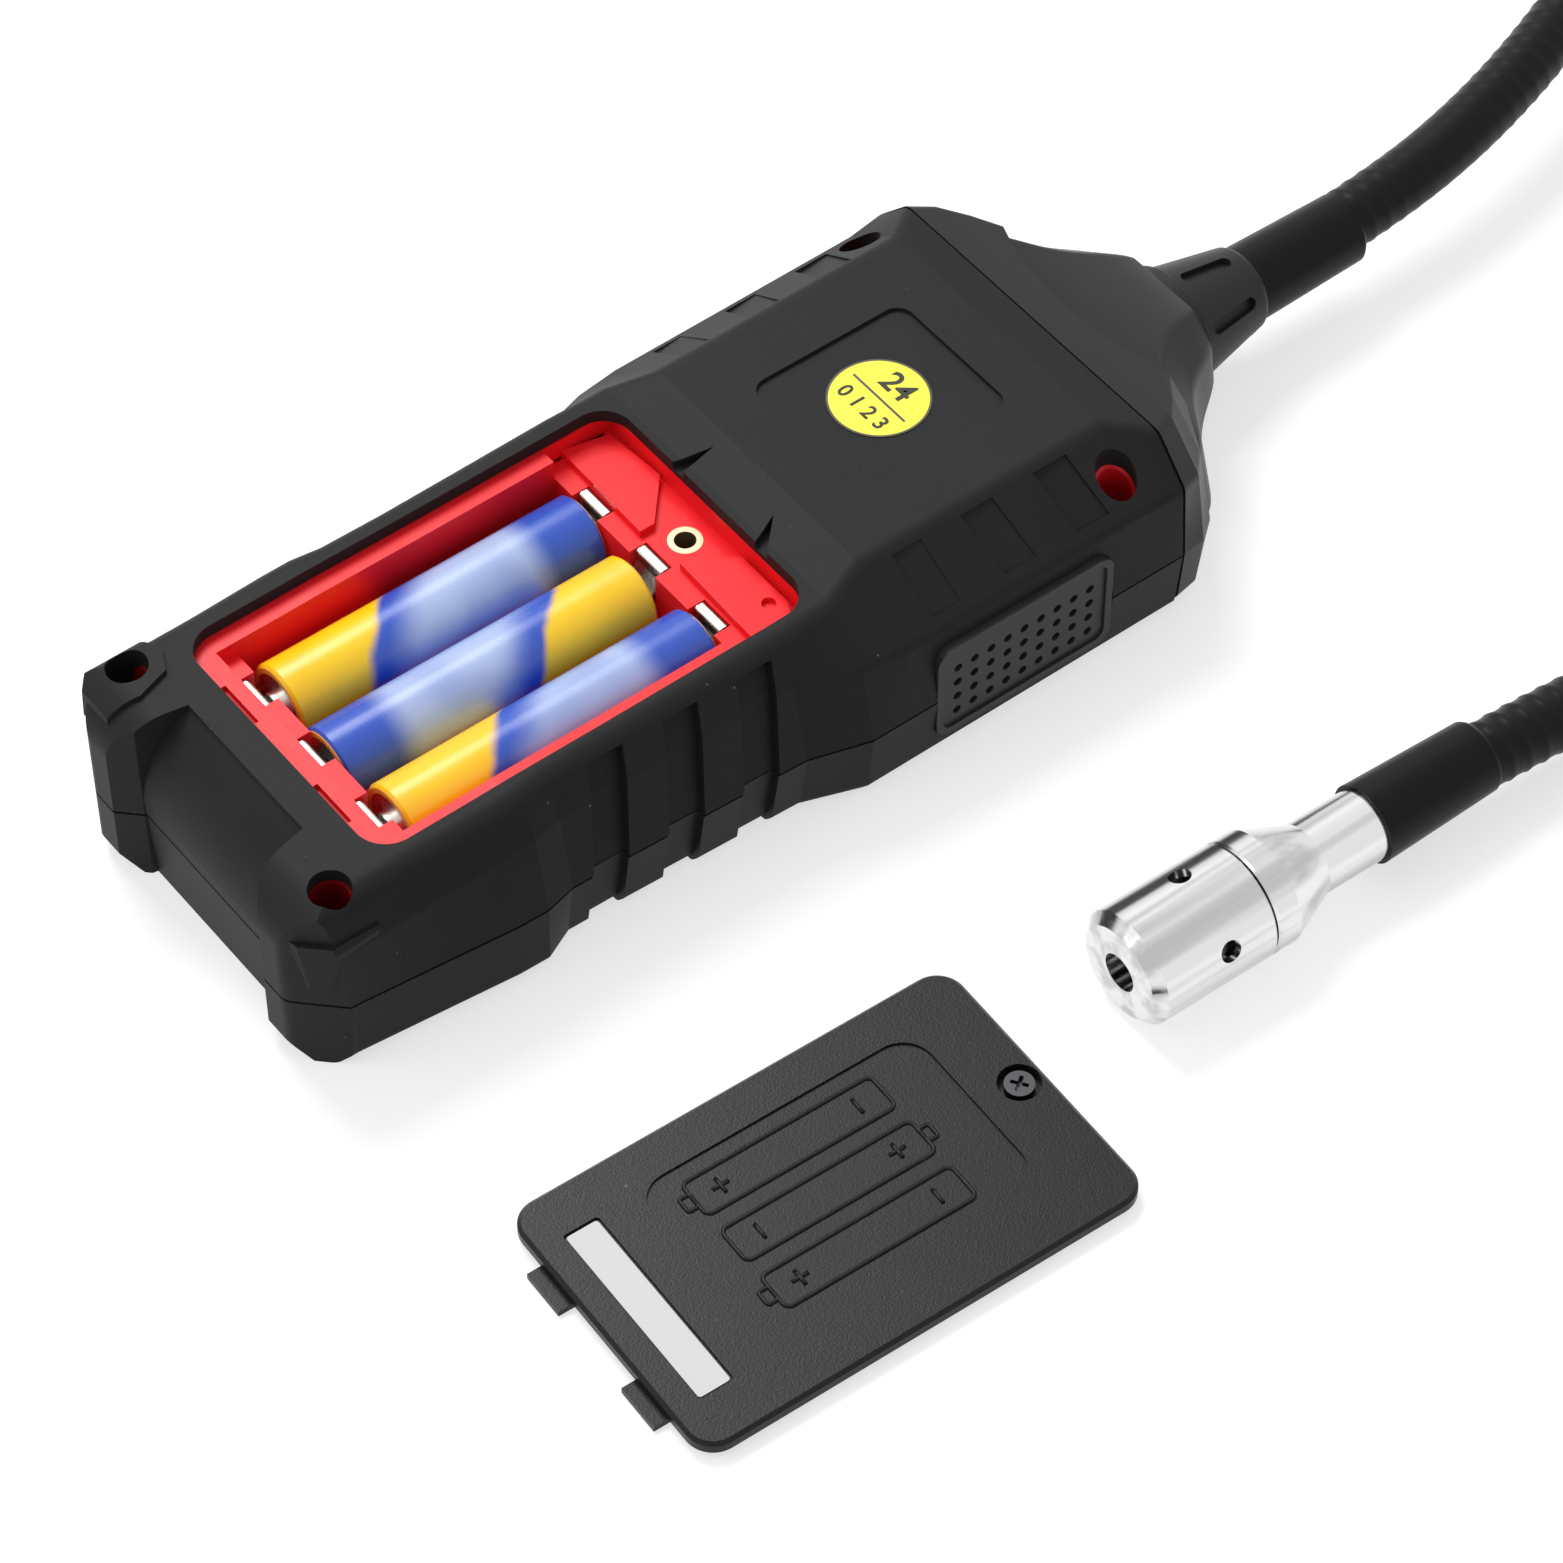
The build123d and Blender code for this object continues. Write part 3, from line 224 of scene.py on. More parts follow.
rubber_skin = grained("rubber_skin", (0.0165, 0.0165, 0.017), 0.52, 0.28, 0.030, 0.11, dust=0.4)
black_case = grained("black_case", (0.0165, 0.016, 0.0175), 0.48, 0.28, 0.020, 0.11, dust=0.3)
black_satin = grained("black_satin", (0.018, 0.018, 0.0185), 0.40, 0.25, 0.014, 0.20)
cover_black = grained("cover_black", (0.0090, 0.0090, 0.0095), 0.34, 0.28, 0.034, 0.20, dust=0.25)
sleeve_black = grained("sleeve_black", (0.0045, 0.0042, 0.0045), 0.36, 0.6, 0.006, 0.13)
dark_plastic = grained("dark_plastic", (0.022, 0.022, 0.024), 0.42, 0.4, 0.01, 0.15)
grille_grey = grained("grille_grey", (0.028, 0.028, 0.029), 0.44, 0.3, 0.012, 0.22)
board_green = grained("board_green", (0.01, 0.12, 0.04), 0.4, 0.8, 0.005, 0.4)
dress(rubber_skin, "rear_rubber")
dress(black_case, "front_shell")
dress(grille_grey, "side_grille_left", "side_grille_right")
dress(black_satin, "neck_cap", "neck_gland")
dress(cover_black, "battery_cover")
dress(sleeve_black, "base_sleeve", "tip_sleeve")
dress(dark_plastic, "face_panel", "display_module", "key_switches", "buzzer")
dress(board_green, "circuit_board")
print("moulded materials", len(bpy.data.materials))

# %% [markdown]
# ## The red shell
# The hard shell is bright red plastic, smooth and a little glossy. Deep in the four screw wells very
# little light reaches it, so there the colour is mixed darker the further down it goes. The mask is
# the distance to the nearest well, which is the same formula with x and y made positive.

# %% Red plastic
red = Shader("red_shell")
red_where, (red_x, red_y, red_z) = red.place()


def distance(across, along):
    """Length of the way that goes so far across and so far along."""
    return (across * across + along * along).math("SQRT")


tail_well = (-65.2, 20.2)
head_well = (44.6, 24.4)
well_radius = 2.9
well_shade_top = 22.5
tail_away = distance(red_x - tail_well[0], abs(red_y) - tail_well[1])
head_away = distance(red_x - head_well[0], abs(red_y) - head_well[1])
tail_shade = tail_away.below(well_radius, 0.2) * 0.85
head_shade = head_away.below(well_radius, 0.2) * red_z.below(well_shade_top, 3.0) * 0.55
red_tone = red.mix(red.noise(red_where, 0.05, 3.0), (0.84, 0.012, 0.017), (0.90, 0.017, 0.025))
# Inside the insert's bore the red is mixed to near black: painted shade at the bottom of the bore.
insert_x = -0.7
insert_bore_radius = 1.9
insert_bore_shade = distance(red_x - insert_x, red_y).below(insert_bore_radius, 0.1)
red_tone = red.mix(insert_bore_shade, red_tone, (0.05, 0.02, 0.01))
shaded_red = red.mix(head_shade, red_tone, (0.16, 0.0, 0.002))
red.surface.inputs["Specular IOR Level"].default_value = 0.22
red.set(Base_Color=red.mix(tail_shade, shaded_red, (0.08, 0.0, 0.001)),
        Roughness=0.30 + 0.08 * red.noise(red_where, 0.9),
        Normal=red.bump(red.noise(red_where, 1.4), 0.004 * MM))
dress(red.material, "rear_shell")

# %% [markdown]
# ## Keys
# Three soft keys are let into the face. Their signs are moulded in one with them, so a mask in the
# material draws them: a ring for power, a plus for more and a bar for less.


# %% Keys with their signs
def key_material(name, centre, sign):
    """Grey rubber key with a pale ring, plus or bar in its middle."""
    made = Shader(name)
    where, (x, y, _) = made.place()
    dx, dy = abs(x - centre[0]), abs(y - centre[1])
    half_stroke, half_length, blur = 0.32, 1.9, 0.04
    bar = dy.below(half_stroke, blur) * dx.below(half_length, blur)
    stem = dx.below(half_stroke, blur) * dy.below(half_length, blur)
    away = distance(dx, dy)
    ring = away.above(1.55, blur) * away.below(2.1, blur)
    mask = {"ring": ring, "plus": bar.math("MAXIMUM", stem), "bar": stem}[sign]
    fine = made.noise(where, 3.0, 3.0)
    made.set(Base_Color=made.mix(mask, (0.10, 0.10, 0.105), (0.75, 0.75, 0.74)),
             Roughness=0.5 + 0.1 * fine, Normal=made.bump(fine, 0.01 * MM))
    return made.material


for key, centre, sign in (("key_power", (-20.0, 0.0), "ring"),
                          ("key_up", (-4.0, 8.0), "plus"),
                          ("key_down", (-4.0, -8.0), "bar")):
    dress(key_material(key + "_rubber", centre, sign), key)
print("keys dressed")

# %% [markdown]
# ## Metals
# The probe tip is turned steel with fine lathe lines round its axis and a bright plating. Pale and
# grey streaks lengthwise, from a noise that is stretched along x, are painted reflections in its
# colour. The contacts are nickel-plated strip, the screws are dark steel and the insert is brass.


# %% Metal materials
def metal(name, colour, roughness, line_size=0.0, line_height=0.002, line_axis=0, stain_and_reflection=0.0,
          streaks=False):
    """Plated metal: noise along one axis makes turning lines. Broad noise darkens the colour at random;
    with streaks, stretched noise paints dark streaks of reflection into it instead.
    """
    made = Shader(name)
    where, axes = made.place()
    tone = made.noise(where, 0.25, 3.0)
    if streaks:
        stretched = made.node("ShaderNodeVectorMath", {"operation": "MULTIPLY"},
                              [where, (0.01, 0.34, 0.34)])
        tone = made.noise(stretched, 1.0, 2.0, 0.5).above(0.48, 0.14)
    darker = tuple(c * (1 - stain_and_reflection) for c in colour)
    made.set(Base_Color=made.mix(tone, darker, colour), Metallic=1.0,
             Roughness=roughness - 0.06 + 0.12 * tone)
    if line_size:
        turning = made.node("ShaderNodeTexNoise", {"noise_dimensions": "1D"}, out="Fac",
                            inputs={"W": axes[line_axis] * (1.0 / line_size), "Scale": 1.0,
                                    "Detail": 2.0})
        made.set(Normal=made.bump(turning, line_height * MM))
    return made.material


# On the probe the grey streaks that darken its colour are a painted reflection of the dark things round
# it.
probe_steel = metal("probe_steel", (0.76, 0.76, 0.755), 0.16, line_size=0.15, line_height=0.005,
                    stain_and_reflection=0.34, streaks=True)
contact_nickel = metal("contact_nickel", (0.52, 0.51, 0.49), 0.25, stain_and_reflection=0.1)
screw_steel = metal("screw_steel", (0.065, 0.065, 0.07), 0.35, stain_and_reflection=0.2)
insert_brass = metal("insert_brass", (0.50, 0.41, 0.27), 0.42, line_size=0.2, line_height=0.003,
                     line_axis=2, stain_and_reflection=0.15)
sensor_mesh = metal("sensor_mesh", (0.35, 0.34, 0.33), 0.5, stain_and_reflection=0.3)
contacts = ["contact_" + end + "_" + str(n) for end in ("tail", "head") for n in (1, 2, 3)]
dress(probe_steel, "probe_base", "probe_cap")
dress(contact_nickel, *contacts)
dress(screw_steel, "case_screws", "cover_screw")
dress(insert_brass, "threaded_insert")
dress(sensor_mesh, "sensor")
print("contacts dressed", len(contacts))

# %% [markdown]
# ## Cells
# Each cell has a printed sleeve: yellow over its positive third and blue over the rest, with a soft
# slanting border, and a pale field on the upper side of the blue. The two ends are bare metal. The
# pattern is one formula for all three cells: it takes the way along the cell from its plus end, the
# way across it, and the height over its axis.


# %% Cell sleeves
cell_axis_z = 18.4
cell_length = 44.4
nub_length = 1.0
bare_radius = 4.1
deep_blue = (0.022, 0.085, 0.50)
pale_blue = (0.40, 0.50, 0.76)


def cell_material(name, plus_x, minus_x, axis_y, yellow_length):
    """Yellow near the plus end, blue with a pale field beyond, bare metal at both end faces."""
    made = Shader(name)
    where, (x, y, z) = made.place()
    toward = 1.0 if minus_x > plus_x else -1.0
    along = (x - plus_x) * toward
    across = y - axis_y
    up = z - cell_axis_z
    ragged = made.noise(where, 0.16, 2.0)
    border = along - across * 0.9 * toward + ragged * 3.0
    blue = border.above(yellow_length, 0.9)
    on_top = (up - across * 0.5).above(1.2, 2.6)
    field = border.above(yellow_length + 5.0, 3.5) * along.below(36.0, 2.2) * on_top
    cloud = 0.72 + 0.28 * made.noise(where, 0.12, 1.0).above(0.46, 0.2)
    yellow = made.mix(made.noise(where, 0.1), (0.93, 0.52, 0.006), (0.96, 0.66, 0.012))
    sleeve = made.mix(blue, yellow, made.mix(field * cloud, deep_blue, pale_blue))
    ends = 1.0 - along.above(nub_length) * along.below(cell_length)
    bare = ends * distance(across, up).below(bare_radius)
    sleeve = made.mix(ends, sleeve, (0.80, 0.42, 0.05))
    made.surface.inputs["Specular IOR Level"].default_value = 0.55
    made.set(Base_Color=made.mix(bare, sleeve, (0.78, 0.76, 0.72)), Metallic=bare,
             Roughness=0.22 + 0.10 * made.noise(where, 0.5))
    return made.material


# Each cell: x of its plus end and of its minus end, y of its axis, and the length of its yellow part
cells = ((-51.9, -7.4, 11.3, 16.5), (-7.5, -52.0, 0.0, 14.5), (-51.9, -7.4, -11.3, 17.0))
for number, cell in enumerate(cells, 1):
    dress(cell_material("cell_sleeve_" + str(number), *cell), "cell_" + str(number))
print("cells dressed", len(cells))

# %% [markdown]
# ## Labels and screen
# The round sticker is yellow paper with a thin dark edge and a dark line across its middle, both
# printed, so they are masks in the material. Its print is left off, and plain numbers stand in for it.

# %% Labels and screen
paper_white = grained("paper_white", (0.64, 0.64, 0.635), 0.55, 0.5, 0.003, 0.3, 0.015)
sticker_x = 28.2
sticker_edge_radius = 6.06
line_half_width = 0.17
line_half_length = 4.9
sticker = Shader("sticker_yellow")
sticker_where, (sx, sy, _) = sticker.place()
edge_line = distance(sx - sticker_x, sy).above(sticker_edge_radius, 0.03)
middle_line = abs(sx - sticker_x).below(line_half_width, 0.02) * abs(sy).below(line_half_length, 0.03)
printed = edge_line.math("MAXIMUM", middle_line)
sticker.set(Base_Color=sticker.mix(printed, (0.93, 0.85, 0.04), (0.05, 0.045, 0.02)),
            Roughness=0.4 + 0.1 * sticker.noise(sticker_where, 0.8),
            Normal=sticker.bump(sticker.noise(sticker_where, 1.2), 0.002 * MM))
dress(sticker.material, "round_sticker")
dress(paper_white, "cover_label")
screen = Shader("screen_glass")
screen_where, _ = screen.place()
screen_tone = screen.noise(screen_where, 0.1)
screen.set(Base_Color=screen.mix(screen_tone, (0.20, 0.24, 0.20), (0.24, 0.28, 0.23)), Roughness=0.12)
dress(screen.material, "display_window")
print("labels and screen dressed")

# %% [markdown]
# ## Gooseneck
# The gooseneck is a wound steel spring under shrink tube, so slim ridges run round it like a screw
# thread. Its route has the same points as the CAD tube, as control points of a smooth curve. The
# curve is turned into a mesh once, to read the points that it passes, and then removed.

# %% Route as a smooth curve
probe_turn = math.radians(-1.06)


def probe_point(along):
    """Point on the probe's axis, in mm, measured from its front face."""
    return (6.5 + along * math.cos(probe_turn), -71.8 + along * math.sin(probe_turn), 7.4)


route = [(71.5, 0.0, 10.8), (104.0, 0.0, 10.8), (131.3, 2.9, 13.0), (162.4, 14.2, 14.5),
         (196.0, 8.0, 14.0), (218.0, -17.0, 12.0), (219.5, -50.5, 9.0), (200.0, -78.5, 6.4),
         (168.0, -88.5, 4.8), (134.0, -84.5, 4.4), (101.0, -77.0, 4.8), probe_point(62.0),
         probe_point(29.5)]
route_curve = bpy.data.curves.new("gooseneck_route", "CURVE")
route_curve.dimensions = "3D"
route_curve.resolution_u = 24
spline = route_curve.splines.new("NURBS")
spline.points.add(len(route) - 1)
spline.points.foreach_set("co", np.c_[np.array(route) * MM, np.ones(len(route))].ravel())
spline.order_u = 3
spline.use_endpoint_u = True
route_object = bpy.data.objects.new("gooseneck_route", route_curve)
route_mesh = bpy.data.meshes.new_from_object(route_object)
line = np.empty(len(route_mesh.vertices) * 3)
route_mesh.vertices.foreach_get("co", line)
line = line.reshape(-1, 3)
bpy.data.objects.remove(route_object)
bpy.data.meshes.remove(route_mesh)
steps = np.linalg.norm(np.diff(line, axis=0), axis=1)


# %% [markdown]
# ## From a grid of points to a mesh
# Every new tube or strip below is a grid of points worked out with numpy. One function turns such a
# grid into a closed mesh, and one gives the directions along and across a path.


# %% Grid to mesh
def grid_mesh(name, points, closed_round, caps=False):
    """Make a mesh of a grid of points (rows along, columns round). Faces join neighbours."""
    rows, columns, _ = points.shape
    index = np.arange(rows * columns).reshape(rows, columns)
    wrap = index if not closed_round else np.c_[index, index[:, :1]]
    a, b = wrap[:-1, :-1].ravel(), wrap[:-1, 1:].ravel()
    c, d = wrap[1:, 1:].ravel(), wrap[1:, :-1].ravel()
    faces = np.c_[a, b, c, d].tolist()
    if caps:
        faces.append(index[0, ::-1].tolist())
        faces.append(index[-1].tolist())
    mesh = bpy.data.meshes.new(name)
    mesh.from_pydata(points.reshape(-1, 3).tolist(), [], faces)
    mesh.update()
    made = bpy.data.objects.new(name, mesh)
    bpy.context.collection.objects.link(made)
    return made


def smooth(piece):
    """Shade all faces of a piece smoothly."""
    piece.data.polygons.foreach_set("use_smooth", np.ones(len(piece.data.polygons), bool))


def frames_along(path):
    """Unit tangent, side and up at each point; side is level, up completes the three."""
    tangent = np.gradient(path, axis=0)
    tangent /= np.linalg.norm(tangent, axis=1, keepdims=True)
    side = np.cross(tangent, (0.0, 0.0, 1.0))
    side /= np.linalg.norm(side, axis=1, keepdims=True)
    return tangent, side, np.cross(side, tangent)


# %% [markdown]
# ## The ridged tube
# The radius at a point is the tube's radius plus a ridge: the cosine of the winding's phase, which
# grows with the way along the route and with the angle round it, with its negative half cut off.


# %% Ridged tube
ridge_pitch = 2.6 * MM
ridge_height = 0.11 * MM
tube_radius = 4.03 * MM
walked = np.r_[0.0, np.cumsum(steps)]
row_step = ridge_pitch / 6
stations = np.linspace(0.0, walked[-1], int(walked[-1] / row_step))
centre = np.c_[[np.interp(stations, walked, line[:, k]) for k in range(3)]].T
tangent, side, up = frames_along(centre)
columns = 40
around = np.linspace(0, 2 * np.pi, columns, endpoint=False)
phase = 2 * np.pi * stations[:, None] / ridge_pitch + around[None, :]
# The shrink tube lies tight in some places and slack in others, so the ridges fade in and out
tight = 0.55 + 0.30 * np.sin(stations / 0.011) + 0.15 * np.sin(stations / 0.0047 + 1.0)
swell = ridge_height * tight[:, None] * (np.cos(phase).clip(0) ** 1.5 * 1.6 - 0.5)
radius = tube_radius + swell
outwards = (np.cos(around)[None, :, None] * side[:, None, :]
            + np.sin(around)[None, :, None] * up[:, None, :])
points = centre[:, None, :] + radius[..., None] * outwards
gooseneck = grid_mesh("gooseneck_wound", points, True, caps=True)
gooseneck.data.flip_normals()
smooth(gooseneck)
gooseneck_black = grained("gooseneck_black", (0.0042, 0.0042, 0.0046), 0.38, 0.6, 0.005, 0.14)
gooseneck.data.materials.append(gooseneck_black)
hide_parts("gooseneck")
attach(gooseneck, BODY)
print("gooseneck rows", len(stations), "triangles", 2 * len(stations) * columns)

# %% [markdown]
# ## Raised marks on the battery cover
# The real cover has a sunk field with small raised marks, which are left off. Plain outlines of the three
# cells with their plus and minus signs take their place, because any such cover could carry them.
# Each mark is a low rounded rib: a half round profile carried along a flat path, worked out for all
# points at once.


# %% Ribs on the cover
cover_middle = np.array([-37.0, -73.9])
cover_turn = math.radians(-2.3)
cover_field_z = 2.3
rib_width = 0.55
rib_height = 0.30
rib_sink = 0.05


def on_cover(flat):
    """Cover coordinates in mm to the shared frame: turn, then move."""
    flat = np.asarray(flat, float)
    c, s = math.cos(cover_turn), math.sin(cover_turn)
    return np.c_[flat[:, 0] * c - flat[:, 1] * s, flat[:, 0] * s + flat[:, 1] * c] + cover_middle


def rib(flat, closed):
    """Half round rib: its section is half the width times cos and the height times sin."""
    path = on_cover(flat)
    if closed:
        ahead, behind = np.roll(path, -1, axis=0), np.roll(path, 1, axis=0)
        direction = ahead - behind
    else:
        direction = np.gradient(path, axis=0)
    direction /= np.linalg.norm(direction, axis=1, keepdims=True)
    side = np.c_[-direction[:, 1], direction[:, 0]]
    angle = np.linspace(0, np.pi, 7)
    across = rib_width / 2 * np.cos(angle)
    rise = cover_field_z - rib_sink + (rib_height + rib_sink) * np.sin(angle)
    flat_xy = path[:, None, :] + across[None, :, None] * side[:, None, :]
    heights = np.broadcast_to(rise[None, :, None], (*flat_xy.shape[:2], 1))
    points = np.concatenate([flat_xy, heights], axis=2)
    if closed:
        points = np.concatenate([points, points[:1]], axis=0)
    return points


def ribs_piece(name, paths):
    """Join several ribs into one mesh: their grids follow one another in the list of points."""
    corners, faces, start = [], [], 0
    for flat, closed in paths:
        points = rib(flat, closed)
        rows, columns, _ = points.shape
        index = start + np.arange(rows * columns).reshape(rows, columns)
        faces += np.c_[index[:-1, :-1].ravel(), index[1:, :-1].ravel(), index[1:, 1:].ravel(),
                       index[:-1, 1:].ravel()].tolist()
        faces += np.c_[index[:-1, 0], index[:-1, -1], index[1:, -1], index[1:, 0]].tolist()
        if not closed:
            faces += [index[0].tolist(), index[-1, ::-1].tolist()]
        corners.append(points.reshape(-1, 3))
        start += rows * columns
    mesh = bpy.data.meshes.new(name)
    mesh.from_pydata((np.concatenate(corners) * MM).tolist(), [], faces)
    mesh.update()
    made = bpy.data.objects.new(name, mesh)
    bpy.context.collection.objects.link(made)
    return made


def rounded_box(x0, x1, half, corner, centre_y):
    """Closed outline of a rounded box: a quarter circle at each corner."""
    quarter = np.linspace(0, np.pi / 2, 6)
    spots = ((x1 - corner, half - corner, 0), (x0 + corner, half - corner, 1),
             (x0 + corner, corner - half, 2), (x1 - corner, corner - half, 3))
    parts = [np.c_[x + corner * np.cos(quarter + k * np.pi / 2),
                   centre_y + y + corner * np.sin(quarter + k * np.pi / 2)] for x, y, k in spots]
    return np.concatenate(parts)


def straight(x0, y0, x1, y1):
    """Points on a straight stroke."""
    return np.c_[np.linspace(x0, x1, 4), np.linspace(y0, y1, 4)]


outline_start, outline_end = -12.0, 14.0
outline_half, nub_half, nub_reach = 2.6, 1.0, 1.4
sign_inset, sign_half = 3.6, 1.1
cover_paths = []
for row_y, plus_end in ((8.9, -1), (1.3, 1), (-6.3, -1)):
    cover_paths.append((rounded_box(outline_start, outline_end, outline_half, 0.9, row_y), True))
    nub_x = outline_end if plus_end > 0 else outline_start
    nub_tip_x = nub_x + plus_end * nub_reach
    nub_start, nub_end = sorted((nub_x, nub_tip_x))
    cover_paths.append((rounded_box(nub_start, nub_end, nub_half, 0.3, row_y), True))
    low_x, high_x = outline_start + sign_inset, outline_end - sign_inset
    plus_x, minus_x = (high_x, low_x) if plus_end > 0 else (low_x, high_x)
    cover_paths.append((straight(plus_x - sign_half, row_y, plus_x + sign_half, row_y), False))
    cover_paths.append((straight(plus_x, row_y - sign_half, plus_x, row_y + sign_half), False))
    cover_paths.append((straight(minus_x, row_y - sign_half, minus_x, row_y + sign_half), False))
cover_marks = ribs_piece("cover_marks", cover_paths)
cover_marks.data.flip_normals()
cover_marks.data.materials.append(cover_black)
smooth(cover_marks)
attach(cover_marks, BODY)
print("cover marks", len(cover_marks.data.polygons), "faces")


# %% [markdown]
# ## Fairings under the tail pads
# The rubber pads round the tail's screws stand a little proud at the cut corners. On the real skin the
# pad runs down into the corner in one sloping face. A slim fairing does that here: a ruled strip from
# the pad's edge to the wall below it, mirrored for the other corner.

# %% Tail fairings
pad_foot_z = 21.74
edge_above = np.array([(-71.18, 20.09, pad_foot_z), (-71.00, 20.79, pad_foot_z),
                       (-70.48, 21.70, pad_foot_z), (-68.12, 24.08, pad_foot_z),
                       (-66.76, 24.22, pad_foot_z), (-61.80, 24.33, pad_foot_z)])
edge_below = np.array([(-70.90, 20.00, 17.5), (-70.65, 20.60, 17.0), (-69.92, 21.34, 12.5),
                       (-67.70, 23.56, 12.5), (-66.76, 24.30, 19.8), (-61.80, 24.38, 19.8)])
into_wall = np.array((0.9, -0.9, 0.0))
for side, name in ((1, "tail_fairing_left"), (-1, "tail_fairing_right")):
    strip = np.stack([edge_above, edge_below, edge_below + into_wall, edge_above + into_wall], axis=1)
    strip[:, :, 1] *= side
    if side < 0:
        strip = strip[:, ::-1]
    fairing = grid_mesh(name, strip * MM, True, caps=True)
    fairing.data.flip_normals()
    fairing.data.materials.append(rubber_skin)
    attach(fairing, BODY)
    print(name, len(fairing.data.polygons), "faces")


# %% [markdown]
# ## Plain numbers on the sticker
# The photograph's sticker carries print, which is left off. Plain figures take up its place.


# %% Plain numbers
def numbers(name, text, size, origin, turn, height, thickness, material):
    """Flat figures: the text curve is made a mesh, whose points are turned and then moved."""
    curve = bpy.data.curves.new(name + "_curve", "FONT")
    curve.body = text
    curve.size = size
    curve.extrude = thickness / 2
    curve.align_x = "CENTER"
    curve.align_y = "CENTER"
    curve.resolution_u = 3
    curve.offset = 0.018 * size
    source = bpy.data.objects.new(name + "_curve", curve)
    mesh = bpy.data.meshes.new_from_object(source)
    mesh.name = name
    count = len(mesh.vertices)
    where = np.empty(count * 3)
    mesh.vertices.foreach_get("co", where)
    where = where.reshape(-1, 3)
    c, s = math.cos(turn), math.sin(turn)
    placed = np.c_[where[:, 0] * c - where[:, 1] * s + origin[0],
                   where[:, 0] * s + where[:, 1] * c + origin[1],
                   where[:, 2] + height + thickness / 2]
    mesh.vertices.foreach_set("co", (placed * MM).ravel())
    mesh.update()
    bpy.data.objects.remove(source)
    made = bpy.data.objects.new(name, mesh)
    bpy.context.collection.objects.link(made)
    made.data.materials.clear()
    made.data.materials.append(material)
    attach(made, BODY)


print_black = grained("print_black", (0.03, 0.028, 0.02), 0.5, 0.5, 0.002, 0.3)
back_z = 28.4
recess_depth = 0.5
sticker_thickness = 0.13
print_z = back_z - recess_depth + sticker_thickness + 0.005
print_thickness = 0.03
for name, text, size, middle_x in (("sticker_number_high", "24", 4.4, 31.0),
                                   ("sticker_number_low", "0 1 2 3", 2.9, 25.7)):
    numbers(name, text, size, (middle_x, 0.0), -math.pi / 2, print_z, print_thickness, print_black)
print("numbers placed")

# %% [markdown]
# ## Studio
# A white floor and white surroundings, as in a catalogue picture. The lamps stay at a plain level.
# The floor glows only towards the camera, in reflections and through glass, so it looks white and
# still keeps the object's soft shadow. The world is white for the same rays and dimmer as a light.


# %% Floor and world
def background_rays(tree):
    """1 for a ray from the camera, off a shiny surface or through glass, and 0 for any other."""
    kinds = tree.nodes.new("ShaderNodeLightPath")
    mask = kinds.outputs["Is Camera Ray"]
    for kind in ("Is Glossy Ray", "Is Transmission Ray"):
        larger = tree.nodes.new("ShaderNodeMath")
        larger.operation = "MAXIMUM"
        tree.links.new(mask, larger.inputs[0])
        tree.links.new(kinds.outputs[kind], larger.inputs[1])
        mask = larger.outputs[0]
    return mask


floor_reach = 3.0
floor_glow = 0.62
floor_mesh = bpy.data.meshes.new("floor")
floor_mesh.from_pydata([(-floor_reach, -floor_reach, 0), (floor_reach, -floor_reach, 0),
                        (floor_reach, floor_reach, 0), (-floor_reach, floor_reach, 0)],
                       [], [(0, 1, 2, 3)])
floor = bpy.data.objects.new("floor", floor_mesh)
bpy.context.collection.objects.link(floor)
floor_look = Shader("floor_white")
seen = Wire(floor_look, background_rays(floor_look.tree))
floor_look.set(Base_Color=(0.5, 0.5, 0.5), Roughness=0.9,
               Emission_Color=floor_look.mix(seen, (0, 0, 0), (1, 1, 1)))
floor_look.surface.inputs["Emission Strength"].default_value = floor_glow
floor_look.surface.inputs["Specular IOR Level"].default_value = 0.0
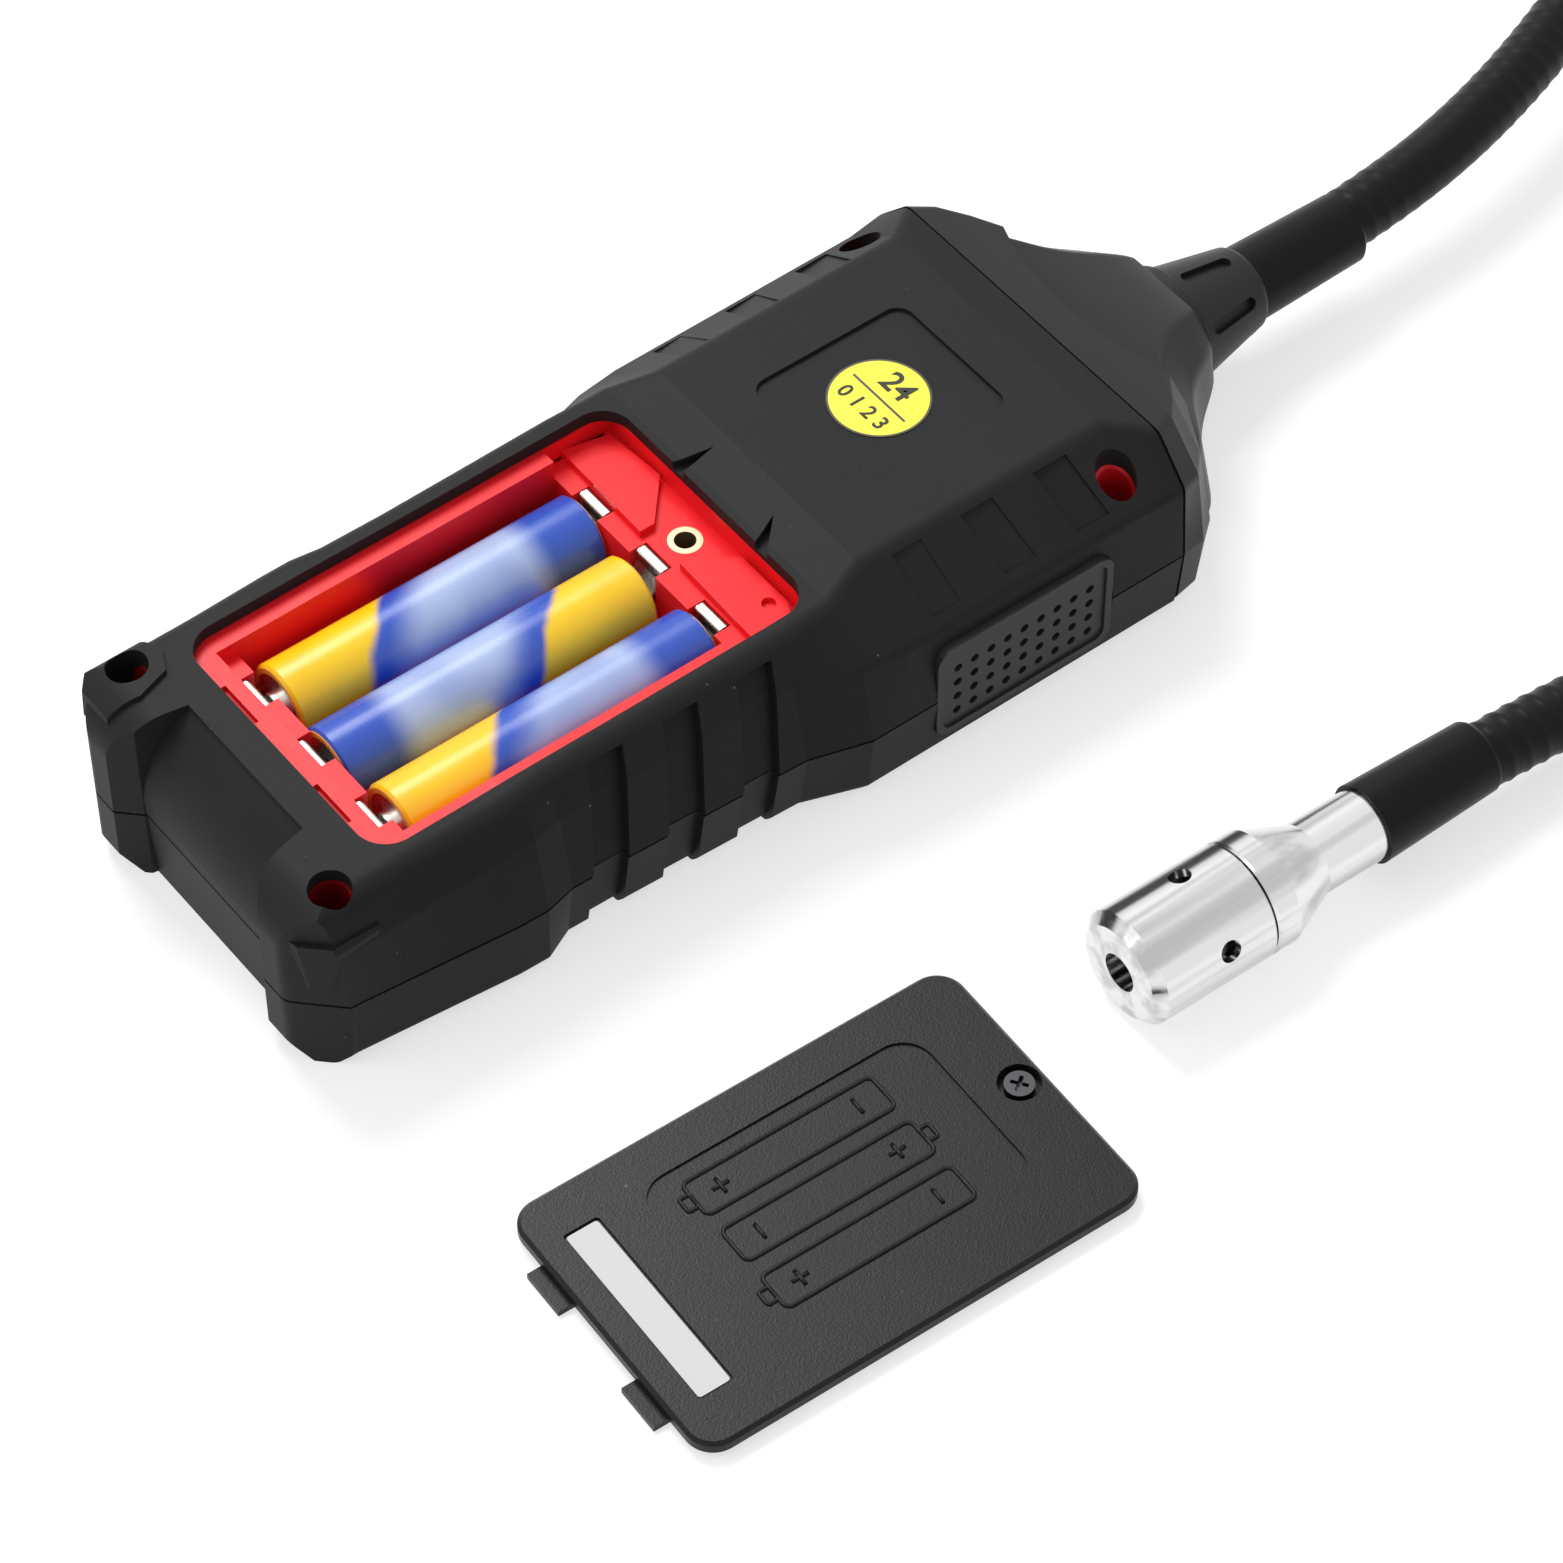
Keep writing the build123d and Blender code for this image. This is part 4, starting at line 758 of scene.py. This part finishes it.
floor.data.materials.append(floor_look.material)

world_light = 0.55
world_seen = 1.0
world = bpy.data.worlds.new("studio")
bpy.context.scene.world = world
world.use_nodes = True
tree = world.node_tree
light_back = tree.nodes["Background"]
seen_back = tree.nodes.new("ShaderNodeBackground")
for background, strength in ((light_back, world_light), (seen_back, world_seen)):
    background.inputs["Color"].default_value = (1, 1, 1, 1)
    background.inputs["Strength"].default_value = strength
choose = tree.nodes.new("ShaderNodeMixShader")
tree.links.new(background_rays(tree), choose.inputs[0])
tree.links.new(light_back.outputs[0], choose.inputs[1])
tree.links.new(seen_back.outputs[0], choose.inputs[2])
tree.links.new(choose.outputs[0], tree.nodes["World Output"].inputs["Surface"])
print("world light", world_light)


# %% [markdown]
# ## Lamps
# One large soft lamp stands high behind the object, so its sheen shows on the cover and the sides
# towards the camera stay darker. A weak one fills in from the left.


# %% Lamps
def softbox(name, location, target, size, power):
    """A rectangular lamp that looks at a target point."""
    lamp = bpy.data.lights.new(name, "AREA")
    lamp.shape = "RECTANGLE"
    lamp.size, lamp.size_y = size
    lamp.energy = power
    made = bpy.data.objects.new(name, lamp)
    made.location = location
    aim = Vector(target) - Vector(location)
    made.rotation_euler = aim.to_track_quat("-Z", "Y").to_euler()
    bpy.context.collection.objects.link(made)
    return made


softbox("key_lamp", (0.10, 0.58, 0.88), (0.05, -0.03, 0), (0.45, 0.45), 8.0)
softbox("fill_lamp", (-0.6, 0.3, 0.7), (0.05, -0.03, 0), (0.6, 0.6), 1.5)

# %% [markdown]
# ## Camera
# A long lens from above, in front and to the left of the object.

# %% Camera
# The lens, place and direction were worked out from the straight edges in the photograph.
camera_data = bpy.data.cameras.new("camera")
camera_data.lens = 130.64
camera_data.sensor_width = 36.0
camera = bpy.data.objects.new("camera", camera_data)
camera.location = (-0.26431, -0.35905, 0.51761)
camera.rotation_euler = (math.radians(39.53), 0.0, math.radians(-37.74))
bpy.context.collection.objects.link(camera)
bpy.context.scene.camera = camera
bpy.context.scene.view_settings.view_transform = "Standard"
